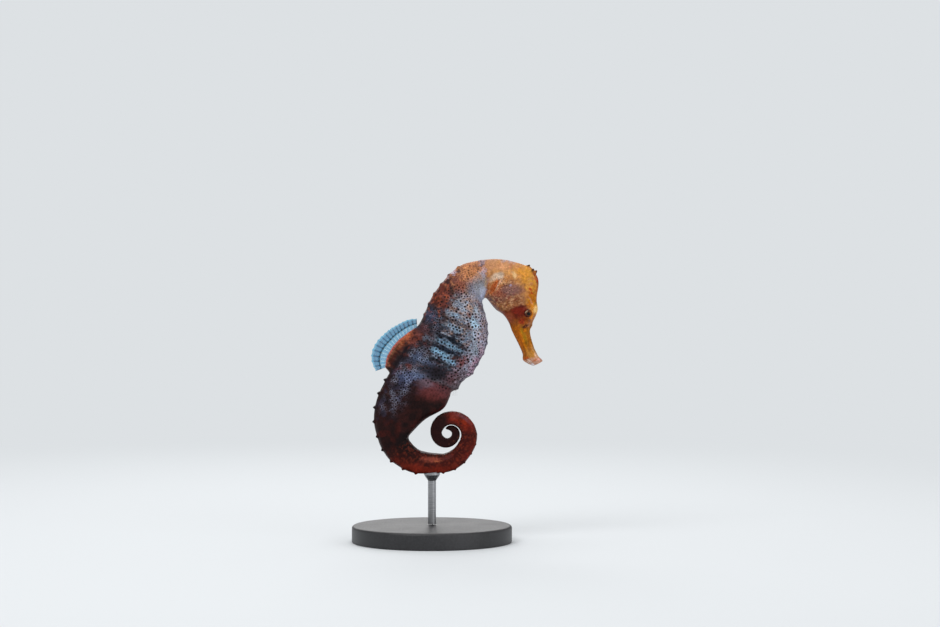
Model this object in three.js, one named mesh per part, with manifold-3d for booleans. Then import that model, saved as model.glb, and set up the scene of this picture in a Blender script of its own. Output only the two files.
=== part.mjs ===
// A life-size longsnout seahorse, Hippocampus reidi, held by a small display stand.
//
// Millimetres, +Z up. The animal faces +X with its left side towards +Y, and the XZ plane
// is its plane of symmetry. The origin is the centre of the stand's underside. The animal
// has a frame of its own, straight above that one, with z = 0 at the lowest point of its tail.
//
// The body is one loft. Each cross-section is a flat slice that runs from a point on the
// back to a point on the belly, and its place along the body is counted in body rings:
// 0 is the first trunk ring behind the gill cover, 11 the end of the trunk and 46 the tip of
// the tail. The head has places below 0, down to the mouth.

import * as THREE from "three";
import { mergeVertices } from "three/addons/utils/BufferGeometryUtils.js";
import Module from "manifold-3d";

const wasm = await Module();
wasm.setup();

// ---------------------------------------------------------------- driving dimensions

const GAP = 0.3; // between neighbouring pieces
const SIDES = 24; // points round each cross-section of the body
const TAIL_SIDES = 16; // and of the thinner tail
const RING_STEP = 0.5; // a cross-section on each ring's ridge, and one in the groove after it

const MOUTH = -10.7;
const TRUNK_END = 11; // the trunk has 11 rings
const TAIL_TIP = 46; // and the tail 35

const LIFT = 20; // height of the lowest point of the tail above the stand's underside
const BASE = { radius: 24, height: 5, chamfer: 0.8 };
const ROD = { radius: 1.2, cupRadius: 2.4, cupHeight: 2.2, grip: 1.4 };

const EYE = { x: 28.7, z: 48.5, side: 2.8, radius: 1.6 };
const EYE_RIM = { side: 2.1, radius: 2.35 }; // the low turret that each eye sits in

// Cross-sections from the mouth to the start of the tail's coil:
// ring, back x and z, belly x and z, half width, squareness, and how far the widest
// point lies towards the back (above 0) or the belly (below 0), as a share of half the depth
const SECTIONS = [
  [MOUTH, 33.2, 34.3, 30.2, 32.8, 1.1, 2.0, 0.0],
  [-10.4, 32.8, 34.8, 28.6, 33.5, 1.9, 2.0, 0.0],
  [-10.1, 32.0, 35.5, 27.3, 34.5, 2.1, 2.0, 0.0],
  [-9.7, 31.4, 36.6, 27.2, 36.2, 1.9, 2.0, 0.0],
  [-9.2, 30.6, 38.3, 26.4, 38.3, 1.7, 2.0, 0.0],
  [-7.7, 29.4, 42.9, 24.0, 43.2, 2.0, 2.0, 0.0], // root of the snout
  [-7.0, 30.0, 45.3, 23.1, 45.6, 2.5, 2.0, 0.0],
  [-6.0, 31.7, 49.4, 21.4, 48.1, 3.3, 2.1, -0.1], // brow, over the eye
  [-5.2, 31.3, 52.5, 19.2, 49.6, 4.0, 2.1, -0.2],
  [-3.8, 31.9, 58.5, 16.8, 52.5, 4.7, 2.1, -0.3], // cheek
  [-3.0, 29.6, 62.0, 16.3, 53.0, 4.8, 2.1, -0.3], // crown
  [-2.2, 24.5, 64.0, 16.0, 53.1, 4.5, 2.1, -0.2],
  [-1.2, 18.6, 64.8, 15.7, 53.0, 4.1, 2.1, -0.1], // nape
  [0.0, 10.8, 63.7, 15.3, 52.6, 4.2, 2.1, 0.0],
  [1.2, 7.3, 62.0, 15.0, 52.2, 4.5, 2.2, 0.0],
  [2.2, 4.5, 59.4, 15.2, 50.7, 4.9, 2.2, 0.0],
  [4.3, 0.1, 53.6, 16.6, 44.7, 5.8, 2.2, 0.0],
  [6.4, -2.9, 47.0, 16.1, 38.3, 6.3, 2.2, 0.0], // deepest part of the trunk
  [8.6, -6.7, 40.3, 12.6, 31.4, 6.2, 2.2, 0.0],
  [9.3, -7.9, 38.5, 11.6, 29.9, 6.0, 2.2, 0.0],
  [10.0, -9.1, 36.7, 9.3, 28.5, 5.8, 2.2, 0.0], // the belly draws in at the vent
  [TRUNK_END, -10.7, 34.3, 7.6, 25.9, 5.5, 2.3, 0.0],
  [12.0, -12.1, 31.7, 5.8, 25.0, 5.2, 2.4, 0.0],
  [13.0, -13.9, 28.6, 5.3, 23.3, 5.0, 2.5, 0.0],
  [14.5, -16.6, 22.5, 3.3, 19.8, 4.7, 2.6, 0.0],
  [16.0, -17.4, 16.1, -2.0, 16.7, 4.3, 2.8, 0.0],
  [17.4, -15.9, 9.9, -6.1, 12.7, 3.9, 3.0, 0.0],
  [18.2, -14.4, 6.9, -7.0, 11.3, 3.6, 3.1, 0.0],
  [19.0, -12.2, 4.2, -6.4, 9.8, 3.4, 3.2, 0.0],
  [20.7, -6.0, 0.8, -3.3, 7.3, 3.0, 3.2, 0.0],
];

// The coil of the tail. Its angles count from straight down, turning through +X.
const COIL = { x: 4.5, z: 12.6, startRing: 22.45, sections: 28, crowding: 1.35 };
// angle, and there the distance from the coil's centre to the middle of the tail, and the
// depth of the tail
const COIL_TURNS = [
  [-15, 9.4, 6.0],
  [15, 8.2, 5.7],
  [45, 7.15, 5.15],
  [90, 6.6, 4.75],
  [130, 5.6, 4.45],
  [180, 4.3, 4.2],
  [225, 3.55, 3.95],
  [270, 3.25, 3.4],
  [315, 3.05, 3.2],
  [360, 2.95, 2.85],
  [405, 2.8, 2.55],
  [450, 2.65, 2.4],
  [480, 2.3, 2.2],
  [510, 1.85, 1.6],
  [540, 1.5, 0.9],
  [555, 1.4, 0.4],
];
const COIL_WIDTH_SHARE = 0.88; // of the depth
const COIL_SQUARENESS = 3.2;

// Ridges along the body, by their angle from the middle of the back, and how far they stand
// out at the knob on each ring.
const TRUNK_RIDGES = [30, 90, 135, 180];
const TAIL_RIDGES = [45, 135];
const RIDGE = { trunk: 0.3, tail: 0.3, spread: 13, groove: 0.35 };

// Where the body is parted into lengths, and the flat face between the tail and the pouch.
const CUTS = { snout: -7.4, head: -1.5, neck: 1.5, trunk: 6, pouch: 14.5, tail: 18 };
const TAIL_CUTS = [CUTS.tail, 22.5, 26.5, 31, 36, 41, TAIL_TIP];
const POUCH_FACE = { x: -1.7, z: 19.7, slant: 33.2 };

// The dorsal fin stands on a fleshy base that covers the last rings of the trunk.
const FIN_BASE = { from: 7.3, to: 12.1, steps: 16, footWidth: 4.4, crestWidth: 1.4, sunk: 2 };
const DORSAL_FIN = { rays: 17, thickness: 0.6 };
// share of the way along the base, height of its crest, length of the ray there, and
// the way the ray points, in degrees from straight ahead
const FIN_SHAPE = [
  [0.0, 0.3, 2.6, 88],
  [0.12, 1.3, 3.6, 104],
  [0.3, 2.5, 4.1, 116],
  [0.5, 3.1, 4.6, 132],
  [0.7, 3.1, 5.1, 156],
  [0.85, 2.8, 4.6, 178],
  [1.0, 2.0, 3.2, 203],
];
const PECTORAL_FIN = { x: 16.3, z: 57.6, side: 4.3, length: 5, root: 1.2, spread: 62, flare: 32 };
const ANAL_FIN = { x: 6.9, z: 25.6, length: 2.0, root: 0.5, spread: 36, slant: 100 };
const SMALL_FIN_THICKNESS = 0.5;

const CORONET = { x: 29.7, z: 61.8, tilt: 45, radius: 2.0, rise: 0.5, sunk: 1.4 };
const CORONET_POINTS = { count: 5, circle: 1.55, radius: 0.5, height: 0.75 };

// ---------------------------------------------------------------- the shape of the body

const radians = THREE.MathUtils.degToRad;
const lerp = THREE.MathUtils.lerp;
const smooth = (from, to, value) => THREE.MathUtils.smoothstep(value, from, to);

// A smooth curve through rows of numbers, by the first number of each row.
function through(rows, at) {
  const last = rows.length - 1;
  const place = Math.min(Math.max(at, rows[0][0]), rows[last][0]);
  const next = rows.findIndex((row) => row[0] > place);
  const i = next < 0 ? last - 1 : Math.max(next - 1, 0);
  const span = rows[i + 1][0] - rows[i][0];
  const s = (place - rows[i][0]) / span;
  const slope = (row, column) => {
    const before = rows[Math.max(row - 1, 0)];
    const after = rows[Math.min(row + 1, last)];
    return ((after[column] - before[column]) / (after[0] - before[0])) * span;
  };
  return rows[i].map(
    (value, column) =>
      value * (1 + 2 * s) * (1 - s) ** 2 +
      slope(i, column) * s * (1 - s) ** 2 +
      rows[i + 1][column] * s * s * (3 - 2 * s) +
      slope(i + 1, column) * s * s * (s - 1),
  );
}

// The coil's cross-sections, in the form of SECTIONS.
function coilSections() {
  const first = COIL_TURNS[0][0];
  const last = COIL_TURNS[COIL_TURNS.length - 1][0];
  const made = [];
  for (let i = 0; i <= COIL.sections; i++) {
    const share = i / COIL.sections;
    const along = 1 - (1 - share) ** COIL.crowding;
    const [angle, radius, depth] = through(COIL_TURNS, lerp(first, last, share));
    const [x, z] = [Math.sin(radians(angle)), -Math.cos(radians(angle))];
    const [outer, inner] = [radius + depth / 2, radius - depth / 2];
    made.push([
      lerp(COIL.startRing, TAIL_TIP, along),
      COIL.x + x * outer,
      COIL.z + z * outer,
      COIL.x + x * inner,
      COIL.z + z * inner,
      (depth / 2) * COIL_WIDTH_SHARE,
      COIL_SQUARENESS,
      0,
    ]);
  }
  return made;
}

const BODY = [...SECTIONS, ...coilSections()];

function sectionAt(ring) {
  const [, backX, backZ, bellyX, bellyZ, half, squareness, shift] = through(BODY, ring);
  const middle = new THREE.Vector2((backX + bellyX) / 2, (backZ + bellyZ) / 2);
  const back = new THREE.Vector2(backX, backZ);
  const up = back.clone().sub(middle).normalize();
  return { middle, back, up, depth: 2 * back.distanceTo(middle), half, squareness, shift };
}

// How far the ridges stand out at one place of the body, at an angle from the back's middle.
function ridgeHeight(ring, degrees) {
  const knob = lerp(RIDGE.groove, 1, ((1 + Math.cos(2 * Math.PI * ring)) / 2) ** 3);
  const peaks = (ridges) =>
    ridges.reduce((sum, at) => sum + Math.exp(-(((degrees - at) / RIDGE.spread) ** 2)), 0);
  const intoTail = smooth(TRUNK_END, TRUNK_END + 2, ring);
  const trunk = smooth(-1, 2, ring) * (1 - intoTail);
  const tail = intoTail * (1 - smooth(30, TAIL_TIP, ring));
  const pouch = smooth(TRUNK_END, TRUNK_END + 1, ring) * (1 - smooth(16, CUTS.tail, ring));
  const bare = degrees > 90 ? 1 - pouch : 1; // the brood pouch is smooth
  const trunkHeight = RIDGE.trunk * trunk * peaks(TRUNK_RIDGES);
  const tailHeight = RIDGE.tail * tail * bare * peaks(TAIL_RIDGES);
  return (trunkHeight + tailHeight) * knob;
}

// A point of the body's surface, at an angle from the back's middle, or off it outwards.
function surfacePoint(ring, degrees, outwards = 0) {
  const s = sectionAt(ring);
  const power = 2 / s.squareness;
  const [c, d] = [Math.cos(radians(degrees)), Math.sin(radians(degrees))];
  const side = Math.sign(d) * Math.abs(d) ** power;
  let up = Math.sign(c) * Math.abs(c) ** power;
  up += s.shift * (1 - up * up);
  const out = new THREE.Vector2((2 * up) / s.depth, side / s.half).normalize();
  const raise = outwards + ridgeHeight(ring, Math.min(degrees, 360 - degrees));
  const height = (up * s.depth) / 2 + out.x * raise;
  const spine = s.middle.clone().addScaledVector(s.up, height);
  return new THREE.Vector3(spine.x, side * s.half + out.y * raise, spine.y);
}

// ---------------------------------------------------------------- solids

// A three.js geometry as a manifold-3d solid.
function solidFrom(geometry, matrix = new THREE.Matrix4()) {
  const plain = geometry.clone().deleteAttribute("normal").deleteAttribute("uv");
  const merged = mergeVertices(plain.applyMatrix4(matrix), 1e-4);
  return new wasm.Manifold(
    new wasm.Mesh({
      numProp: 3,
      vertProperties: merged.attributes.position.array,
      triVerts: new Uint32Array(merged.index.array),
    }),
  );
}

function geometryFrom(solid) {
  const mesh = solid.getMesh();
  return new THREE.BufferGeometry()
    .setAttribute("position", new THREE.BufferAttribute(mesh.vertProperties, 3))
    .setIndex(new THREE.BufferAttribute(mesh.triVerts, 1));
}

// A closed solid through loops of points, with flat ends. Each loop turns clockwise, seen
// from the loop before it.
function loft(loops) {
  const count = loops[0].length;
  const points = loops.flat();
  const faces = [];
  for (let i = 0; i + 1 < loops.length; i++) {
    for (let j = 0; j < count; j++) {
      const [a, b] = [i * count + j, i * count + ((j + 1) % count)];
      faces.push(a, b, b + count, a, b + count, a + count);
    }
  }
  const cap = (loop, start, isFirst) => {
    const sum = loop.reduce((total, point) => total.add(point), new THREE.Vector3());
    points.push(sum.divideScalar(count));
    for (let j = 0; j < count; j++) {
      const [a, b] = [start + j, start + ((j + 1) % count)];
      faces.push(points.length - 1, isFirst ? b : a, isFirst ? a : b);
    }
  };
  cap(loops[0], 0, true);
  cap(loops[loops.length - 1], (loops.length - 1) * count, false);
  return solidFrom(new THREE.BufferGeometry().setFromPoints(points).setIndex(faces));
}

// The places between two rings where a length of the body gets a cross-section.
function places(from, to) {
  const clear = RING_STEP / 4;
  const made = [from];
  for (let ring = Math.ceil(from / RING_STEP) * RING_STEP; ring < to; ring += RING_STEP) {
    if (ring > from + clear && ring < to - clear) made.push(ring);
  }
  return [...made, to];
}

// A length of the body between two places, with half a gap off each cut end. An outward
// offset makes it the room that a neighbouring piece keeps clear of, with no gap.
function bodyLength(from, to, outwards = 0) {
  const sides = from < CUTS.tail ? SIDES : TAIL_SIDES;
  let solid = loft(
    places(from, to).map((ring) =>
      Array.from({ length: sides }, (_, j) => surfacePoint(ring, (360 * j) / sides, outwards)),
    ),
  );
  if (outwards > 0) return solid;
  if (from > MOUTH) solid = trimmed(solid, from, 1);
  if (to < TAIL_TIP) solid = trimmed(solid, to, -1);
  return solid;
}

// Takes half a gap off a length's flat end. The length lies one way along the body from it.
function trimmed(solid, ring, way) {
  const { middle, up } = sectionAt(ring);
  const along = sectionAt(ring + way * 0.1).middle.sub(middle);
  const normal = new THREE.Vector2(up.y, -up.x);
  if (normal.dot(along) < 0) normal.negate();
  return solid.trimByPlane([normal.x, 0, normal.y], normal.dot(middle) + GAP / 2);
}

function ball(x, y, z, radius) {
  const sphere = new THREE.SphereGeometry(radius, 16, 10);
  return solidFrom(sphere, new THREE.Matrix4().makeTranslation(x, y, z));
}

// A flat plate from an outline in its own XY plane, its thickness centred on that plane.
function plate(outline, thickness, matrix) {
  const shape = new THREE.Shape(outline);
  const extruded = new THREE.ExtrudeGeometry(shape, { depth: thickness, bevelEnabled: false });
  return solidFrom(extruded.translate(0, 0, -thickness / 2), matrix);
}

const UPRIGHT = new THREE.Matrix4().makeRotationX(Math.PI / 2); // a plate's XY becomes XZ

// Places a piece at a point, after turning it by each rotation, the last one first.
const placed = (x, y, z, ...rotations) =>
  rotations.reduce(
    (matrix, rotation) => matrix.multiply(rotation),
    new THREE.Matrix4().makeTranslation(x, y, z),
  );

// ---------------------------------------------------------------- the animal's parts

function head() {
  let solid = bodyLength(CUTS.snout, CUTS.head);
  for (const side of [-1, 1]) {
    solid = solid.add(ball(EYE.x, side * EYE_RIM.side, EYE.z, EYE_RIM.radius));
  }
  for (const side of [-1, 1]) {
    solid = solid.subtract(ball(EYE.x, side * EYE.side, EYE.z, EYE.radius + GAP));
  }
  return solid;
}

// The low crown on the top of the head, a disc with a ring of blunt points.
function coronet(headRoom) {
  const { x, z, tilt, radius, rise, sunk } = CORONET;
  const place = placed(x, 0, z, new THREE.Matrix4().makeRotationY(radians(tilt)), UPRIGHT);
  const profile = [
    [0, -sunk],
    [radius, -sunk],
    [radius, rise * 0.3],
    [radius * 0.75, rise],
    [0, rise * 0.6],
  ].map(([r, h]) => new THREE.Vector2(r, h));
  let solid = solidFrom(new THREE.LatheGeometry(profile, 20), place);
  const points = CORONET_POINTS;
  for (let i = 0; i < points.count; i++) {
    const angle = (2 * Math.PI * (i + 0.5)) / points.count;
    const point = new THREE.CylinderGeometry(points.radius * 0.35, points.radius, points.height, 8);
    point.translate(
      Math.cos(angle) * points.circle,
      rise + points.height * 0.35,
      Math.sin(angle) * points.circle,
    );
    solid = solid.add(solidFrom(point, place));
  }
  return solid.subtract(headRoom);
}

// All that lies on the pouch's side of its flat face, or of that face moved outwards.
function pouchSide(offset) {
  const size = 60;
  const room = new THREE.BoxGeometry(size, size, size).translate(size / 2 + offset, 0, 0);
  const slant = new THREE.Matrix4().makeRotationY(radians(POUCH_FACE.slant));
  return solidFrom(room, placed(POUCH_FACE.x, 0, POUCH_FACE.z, slant));
}

// The dorsal fin's base and the ray that stands on it, at a share of the way along it.
function finAt(share) {
  const ring = lerp(FIN_BASE.from, FIN_BASE.to, share);
  const { back } = sectionAt(ring);
  const along = sectionAt(ring - 0.2).back.sub(sectionAt(ring + 0.2).back).normalize();
  const outward = new THREE.Vector2(-along.y, along.x);
  const [, height, length, angle] = through(FIN_SHAPE, share);
  return {
    foot: back.clone().addScaledVector(outward, -FIN_BASE.sunk),
    crest: back.clone().addScaledVector(outward, height),
    ray: new THREE.Vector2(Math.cos(radians(angle)), Math.sin(radians(angle))),
    length,
  };
}

function dorsalFinBase(trunkRoom) {
  const loops = [];
  for (let i = 0; i <= FIN_BASE.steps; i++) {
    const { foot, crest } = finAt(i / FIN_BASE.steps);
    const flank = [
      [foot, FIN_BASE.footWidth / 2],
      [foot.clone().lerp(crest, 0.75), FIN_BASE.footWidth * 0.35],
      [crest, FIN_BASE.crestWidth / 2],
    ].map(([point, side]) => new THREE.Vector3(point.x, side, point.y));
    const otherFlank = flank.map((p) => new THREE.Vector3(p.x, -p.y, p.z)).reverse();
    loops.push([...flank, ...otherFlank].reverse());
  }
  return loft(loops).subtract(trunkRoom);
}

function dorsalFin() {
  const inner = [];
  const outer = [];
  for (let i = 0; i < DORSAL_FIN.rays; i++) {
    const { crest, ray, length } = finAt(i / (DORSAL_FIN.rays - 1));
    inner.push(crest.clone().addScaledVector(ray, GAP));
    outer.unshift(crest.clone().addScaledVector(ray, length));
  }
  return plate([...inner, ...outer], DORSAL_FIN.thickness, UPRIGHT);
}

// The outline of a round fan, its narrow root at the origin and its rays along +X.
function fan({ length, root, spread }) {
  const points = [new THREE.Vector2(0, -root), new THREE.Vector2(0, root)];
  const steps = 10;
  for (let i = 0; i <= steps; i++) {
    const angle = radians(lerp(spread, -spread, i / steps));
    points.push(new THREE.Vector2(Math.cos(angle) * length, Math.sin(angle) * length * 0.9));
  }
  return points;
}

function pectoralFin(side, neckRoom) {
  const { x, z, side: reach, flare } = PECTORAL_FIN;
  const backward = new THREE.Matrix4().makeRotationZ(side * radians(180 - flare));
  const place = placed(x, side * reach, z, backward, UPRIGHT);
  return plate(fan(PECTORAL_FIN), SMALL_FIN_THICKNESS, place).subtract(neckRoom);
}

function analFin(trunkRoom) {
  const { x, z, slant } = ANAL_FIN;
  const place = placed(x, 0, z, new THREE.Matrix4().makeRotationY(radians(slant)), UPRIGHT);
  return plate(fan(ANAL_FIN), SMALL_FIN_THICKNESS, place).subtract(trunkRoom);
}

// ---------------------------------------------------------------- the stand

const lathe = (profile, segments) =>
  new THREE.LatheGeometry(
    profile.map(([r, h]) => new THREE.Vector2(r, h)),
    segments,
  );

function standBase() {
  const { radius, height, chamfer } = BASE;
  const profile = [
    [0, 0],
    [radius, 0],
    [radius, height - chamfer],
    [radius - chamfer, height],
    [0, height],
  ];
  return solidFrom(lathe(profile, 48), UPRIGHT);
}

// A rod with a small cup at its top, hollowed for the tail that lies in it.
function standRod(tailRoom) {
  const top = LIFT + ROD.grip;
  const profile = [
    [0, BASE.height + GAP],
    [ROD.radius, BASE.height + GAP],
    [ROD.radius, top - ROD.cupHeight * 1.4],
    [ROD.cupRadius, top - ROD.cupHeight * 0.6],
    [ROD.cupRadius, top],
    [0, top],
  ];
  return solidFrom(lathe(profile, 20), UPRIGHT).subtract(tailRoom);
}

// ---------------------------------------------------------------- the model

// colour, roughness, metalness
const MATERIALS = {
  head: [0xd98a1f, 0.5, 0],
  coronet: [0xb5601c, 0.55, 0],
  eye: [0x1a1206, 0.08, 0],
  neck: [0xb9682c, 0.5, 0],
  trunk: [0x7d6b70, 0.5, 0],
  tail: [0x5a1f16, 0.45, 0],
  pouch: [0x5c221b, 0.4, 0],
  fin: [0x8fc4dc, 0.35, 0],
  finBase: [0xb04a22, 0.5, 0],
  base: [0x2a2a2c, 0.45, 0],
  rod: [0xb8b8ba, 0.3, 1],
};

const seahorse = new THREE.Group();
const animal = new THREE.Group();
const stand = new THREE.Group();
animal.position.z = LIFT;
seahorse.add(animal, stand);

function addPart(group, name, finish, solid) {
  const [color, roughness, metalness] = MATERIALS[finish];
  const material = new THREE.MeshStandardMaterial({ color, roughness, metalness });
  const mesh = new THREE.Mesh(geometryFrom(solid), material);
  mesh.name = name;
  group.add(mesh);
}

const headRoom = bodyLength(CUTS.snout, CUTS.head, GAP);
const neckRoom = bodyLength(-3.5, 3, GAP);
const trunkRoom = bodyLength(5, 14, GAP);
const tailRoom = bodyLength(19, 25, GAP / 2);

addPart(animal, "snout", "head", bodyLength(MOUTH, CUTS.snout));
addPart(animal, "head", "head", head());
addPart(animal, "coronet", "coronet", coronet(headRoom));
addPart(animal, "neck", "neck", bodyLength(CUTS.head, CUTS.neck));
addPart(animal, "trunk_upper", "trunk", bodyLength(CUTS.neck, CUTS.trunk));
addPart(animal, "trunk_lower", "trunk", bodyLength(CUTS.trunk, TRUNK_END));

const pouchLength = bodyLength(TRUNK_END, CUTS.tail);
addPart(animal, "brood_pouch", "pouch", pouchLength.intersect(pouchSide(GAP / 2)));
const besidePouch = [TRUNK_END, CUTS.pouch, CUTS.tail];
for (let i = 0; i < 2; i++) {
  const length = bodyLength(besidePouch[i], besidePouch[i + 1]);
  addPart(animal, `tail_${i + 1}`, "tail", length.subtract(pouchSide(-GAP / 2)));
}
for (let i = 0; i + 1 < TAIL_CUTS.length; i++) {
  addPart(animal, `tail_${i + 3}`, "tail", bodyLength(TAIL_CUTS[i], TAIL_CUTS[i + 1]));
}

addPart(animal, "dorsal_fin_base", "finBase", dorsalFinBase(trunkRoom));
addPart(animal, "dorsal_fin", "fin", dorsalFin());
addPart(animal, "anal_fin", "fin", analFin(trunkRoom));
for (const [hand, side] of [["left", 1], ["right", -1]]) {
  addPart(animal, `eye_${hand}`, "eye", ball(EYE.x, side * EYE.side, EYE.z, EYE.radius));
  addPart(animal, `pectoral_fin_${hand}`, "fin", pectoralFin(side, neckRoom));
}

addPart(stand, "stand_base", "base", standBase());
addPart(stand, "stand_rod", "rod", standRod(tailRoom.translate([0, 0, LIFT])));

export default seahorse;
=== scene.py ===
# The looks of a life-size longsnout seahorse on a display stand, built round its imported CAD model.
#
# Shapes are worked out in millimetres and turned into metres when a mesh is made. The body
# has the same shape as in the CAD: a loft of flat cross-sections, each with a point on the
# back and a point on the belly. A place on the body is named by its ring (0 is the first
# trunk ring, 11 the end of the trunk, 46 the tip of the tail, and the head lies below 0),
# and by up, which is 1 on the back, 0 half way down the flank and -1 on the belly.

import functools
import itertools
import math

import bpy
import numpy as np
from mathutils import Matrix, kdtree


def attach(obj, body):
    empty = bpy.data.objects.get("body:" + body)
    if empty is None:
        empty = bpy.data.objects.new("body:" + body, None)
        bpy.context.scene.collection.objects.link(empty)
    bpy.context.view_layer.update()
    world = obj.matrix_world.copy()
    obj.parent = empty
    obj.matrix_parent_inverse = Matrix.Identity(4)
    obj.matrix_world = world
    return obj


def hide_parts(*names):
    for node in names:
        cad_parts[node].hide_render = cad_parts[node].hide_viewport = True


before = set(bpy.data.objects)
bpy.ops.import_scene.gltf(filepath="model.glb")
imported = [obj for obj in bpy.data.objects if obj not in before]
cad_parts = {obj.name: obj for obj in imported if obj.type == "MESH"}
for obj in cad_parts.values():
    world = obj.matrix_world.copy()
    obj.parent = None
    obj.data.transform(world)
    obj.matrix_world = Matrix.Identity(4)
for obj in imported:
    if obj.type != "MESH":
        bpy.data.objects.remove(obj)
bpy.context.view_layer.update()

MM = 0.001

# ---------------- camera

CAMERA_PLACE = (11.4, -600.0, 68.45)
CAMERA_LENS = 76.6

camera_data = bpy.data.cameras.new("camera")
camera_data.lens = CAMERA_LENS
camera_data.sensor_width = 36
camera_data.clip_start = 0.01
camera = bpy.data.objects.new("camera", camera_data)
camera.location = [place * MM for place in CAMERA_PLACE]
camera.rotation_euler = (math.radians(90), 0, 0)
bpy.context.scene.collection.objects.link(camera)
bpy.context.scene.camera = camera
bpy.context.scene.view_settings.view_transform = "Standard"

# ---------------- small helpers


def smooth(low, high, value):
    """0 up to low and 1 from high on, or the other way round where low is the larger."""
    share = np.clip((value - low) / (high - low), 0, 1)
    return share * share * (3 - 2 * share)


def band(value, low, high, soft):
    """1 between low and high, fading to 0 over soft on either side of each."""
    return smooth(low - soft, low + soft, value) * (1 - smooth(high - soft, high + soft, value))


def hump(value, middle, width):
    """1 at the middle, fading to 0 over about twice the width on either side."""
    return np.exp(-(((value - middle) / width) ** 2))


def mixed(a, b, share):
    return a + (b - a) * share


def largest(*values):
    """The largest of the values at each place."""
    return functools.reduce(np.maximum, values)


def rgb(written):
    """The linear colour of a written one, such as "C8780C"."""
    srgb = np.array([int(written[i : i + 2], 16) / 255 for i in (0, 2, 4)])
    return np.where(srgb <= 0.04045, srgb / 12.92, ((srgb + 0.055) / 1.055) ** 2.4)


def painted(coat, written, share):
    """Colours, mixed by a share for each place with a written one."""
    return mixed(coat, rgb(written), share[..., None])


NOISE_CELLS = 32  # before the noise repeats
NOISE_GAIN = 1.3  # brings most of it between -1 and 1


def waves(points, size, seed):
    """Soft random blotches of about that size in millimetres, mostly between -1 and 1."""
    rng = np.random.default_rng(seed)
    heights = rng.normal(size=(NOISE_CELLS, NOISE_CELLS, NOISE_CELLS))
    turned, _ = np.linalg.qr(rng.normal(size=(3, 3)))
    place = points @ turned / size
    cell = np.floor(place).astype(int)
    part = place - cell
    part = part * part * (3 - 2 * part)
    total = np.zeros(points.shape[:-1])
    for corner in itertools.product((0, 1), repeat=3):
        share = np.prod(np.where(corner, part, 1 - part), axis=-1)
        i, j, k = np.moveaxis((cell + corner) % NOISE_CELLS, -1, 0)
        total += share * heights[i, j, k]
    return NOISE_GAIN * total


def through(rows, at):
    """A smooth curve through rows of numbers, by the first number of each row."""
    rows = np.asarray(rows, float)
    keys = rows[:, 0]
    at = np.clip(np.asarray(at, float), keys[0], keys[-1])
    slopes = np.empty_like(rows)
    slopes[1:-1] = (rows[2:] - rows[:-2]) / (keys[2:] - keys[:-2])[:, None]
    slopes[0] = (rows[1] - rows[0]) / (keys[1] - keys[0])
    slopes[-1] = (rows[-1] - rows[-2]) / (keys[-1] - keys[-2])
    i = np.clip(np.searchsorted(keys, at, side="right") - 1, 0, len(keys) - 2)
    span = (keys[i + 1] - keys[i])[..., None]
    s = (at - keys[i])[..., None] / span
    return (
        rows[i] * (1 + 2 * s) * (1 - s) ** 2
        + slopes[i] * span * s * (1 - s) ** 2
        + rows[i + 1] * s * s * (3 - 2 * s)
        + slopes[i + 1] * span * s * s * (s - 1)
    )


# ---------------- the body's shape, as in the CAD

LIFT = 20.0  # height of the lowest point of the tail above the floor

MOUTH, TRUNK_END, TAIL_TIP = -10.7, 11.0, 46.0

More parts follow.
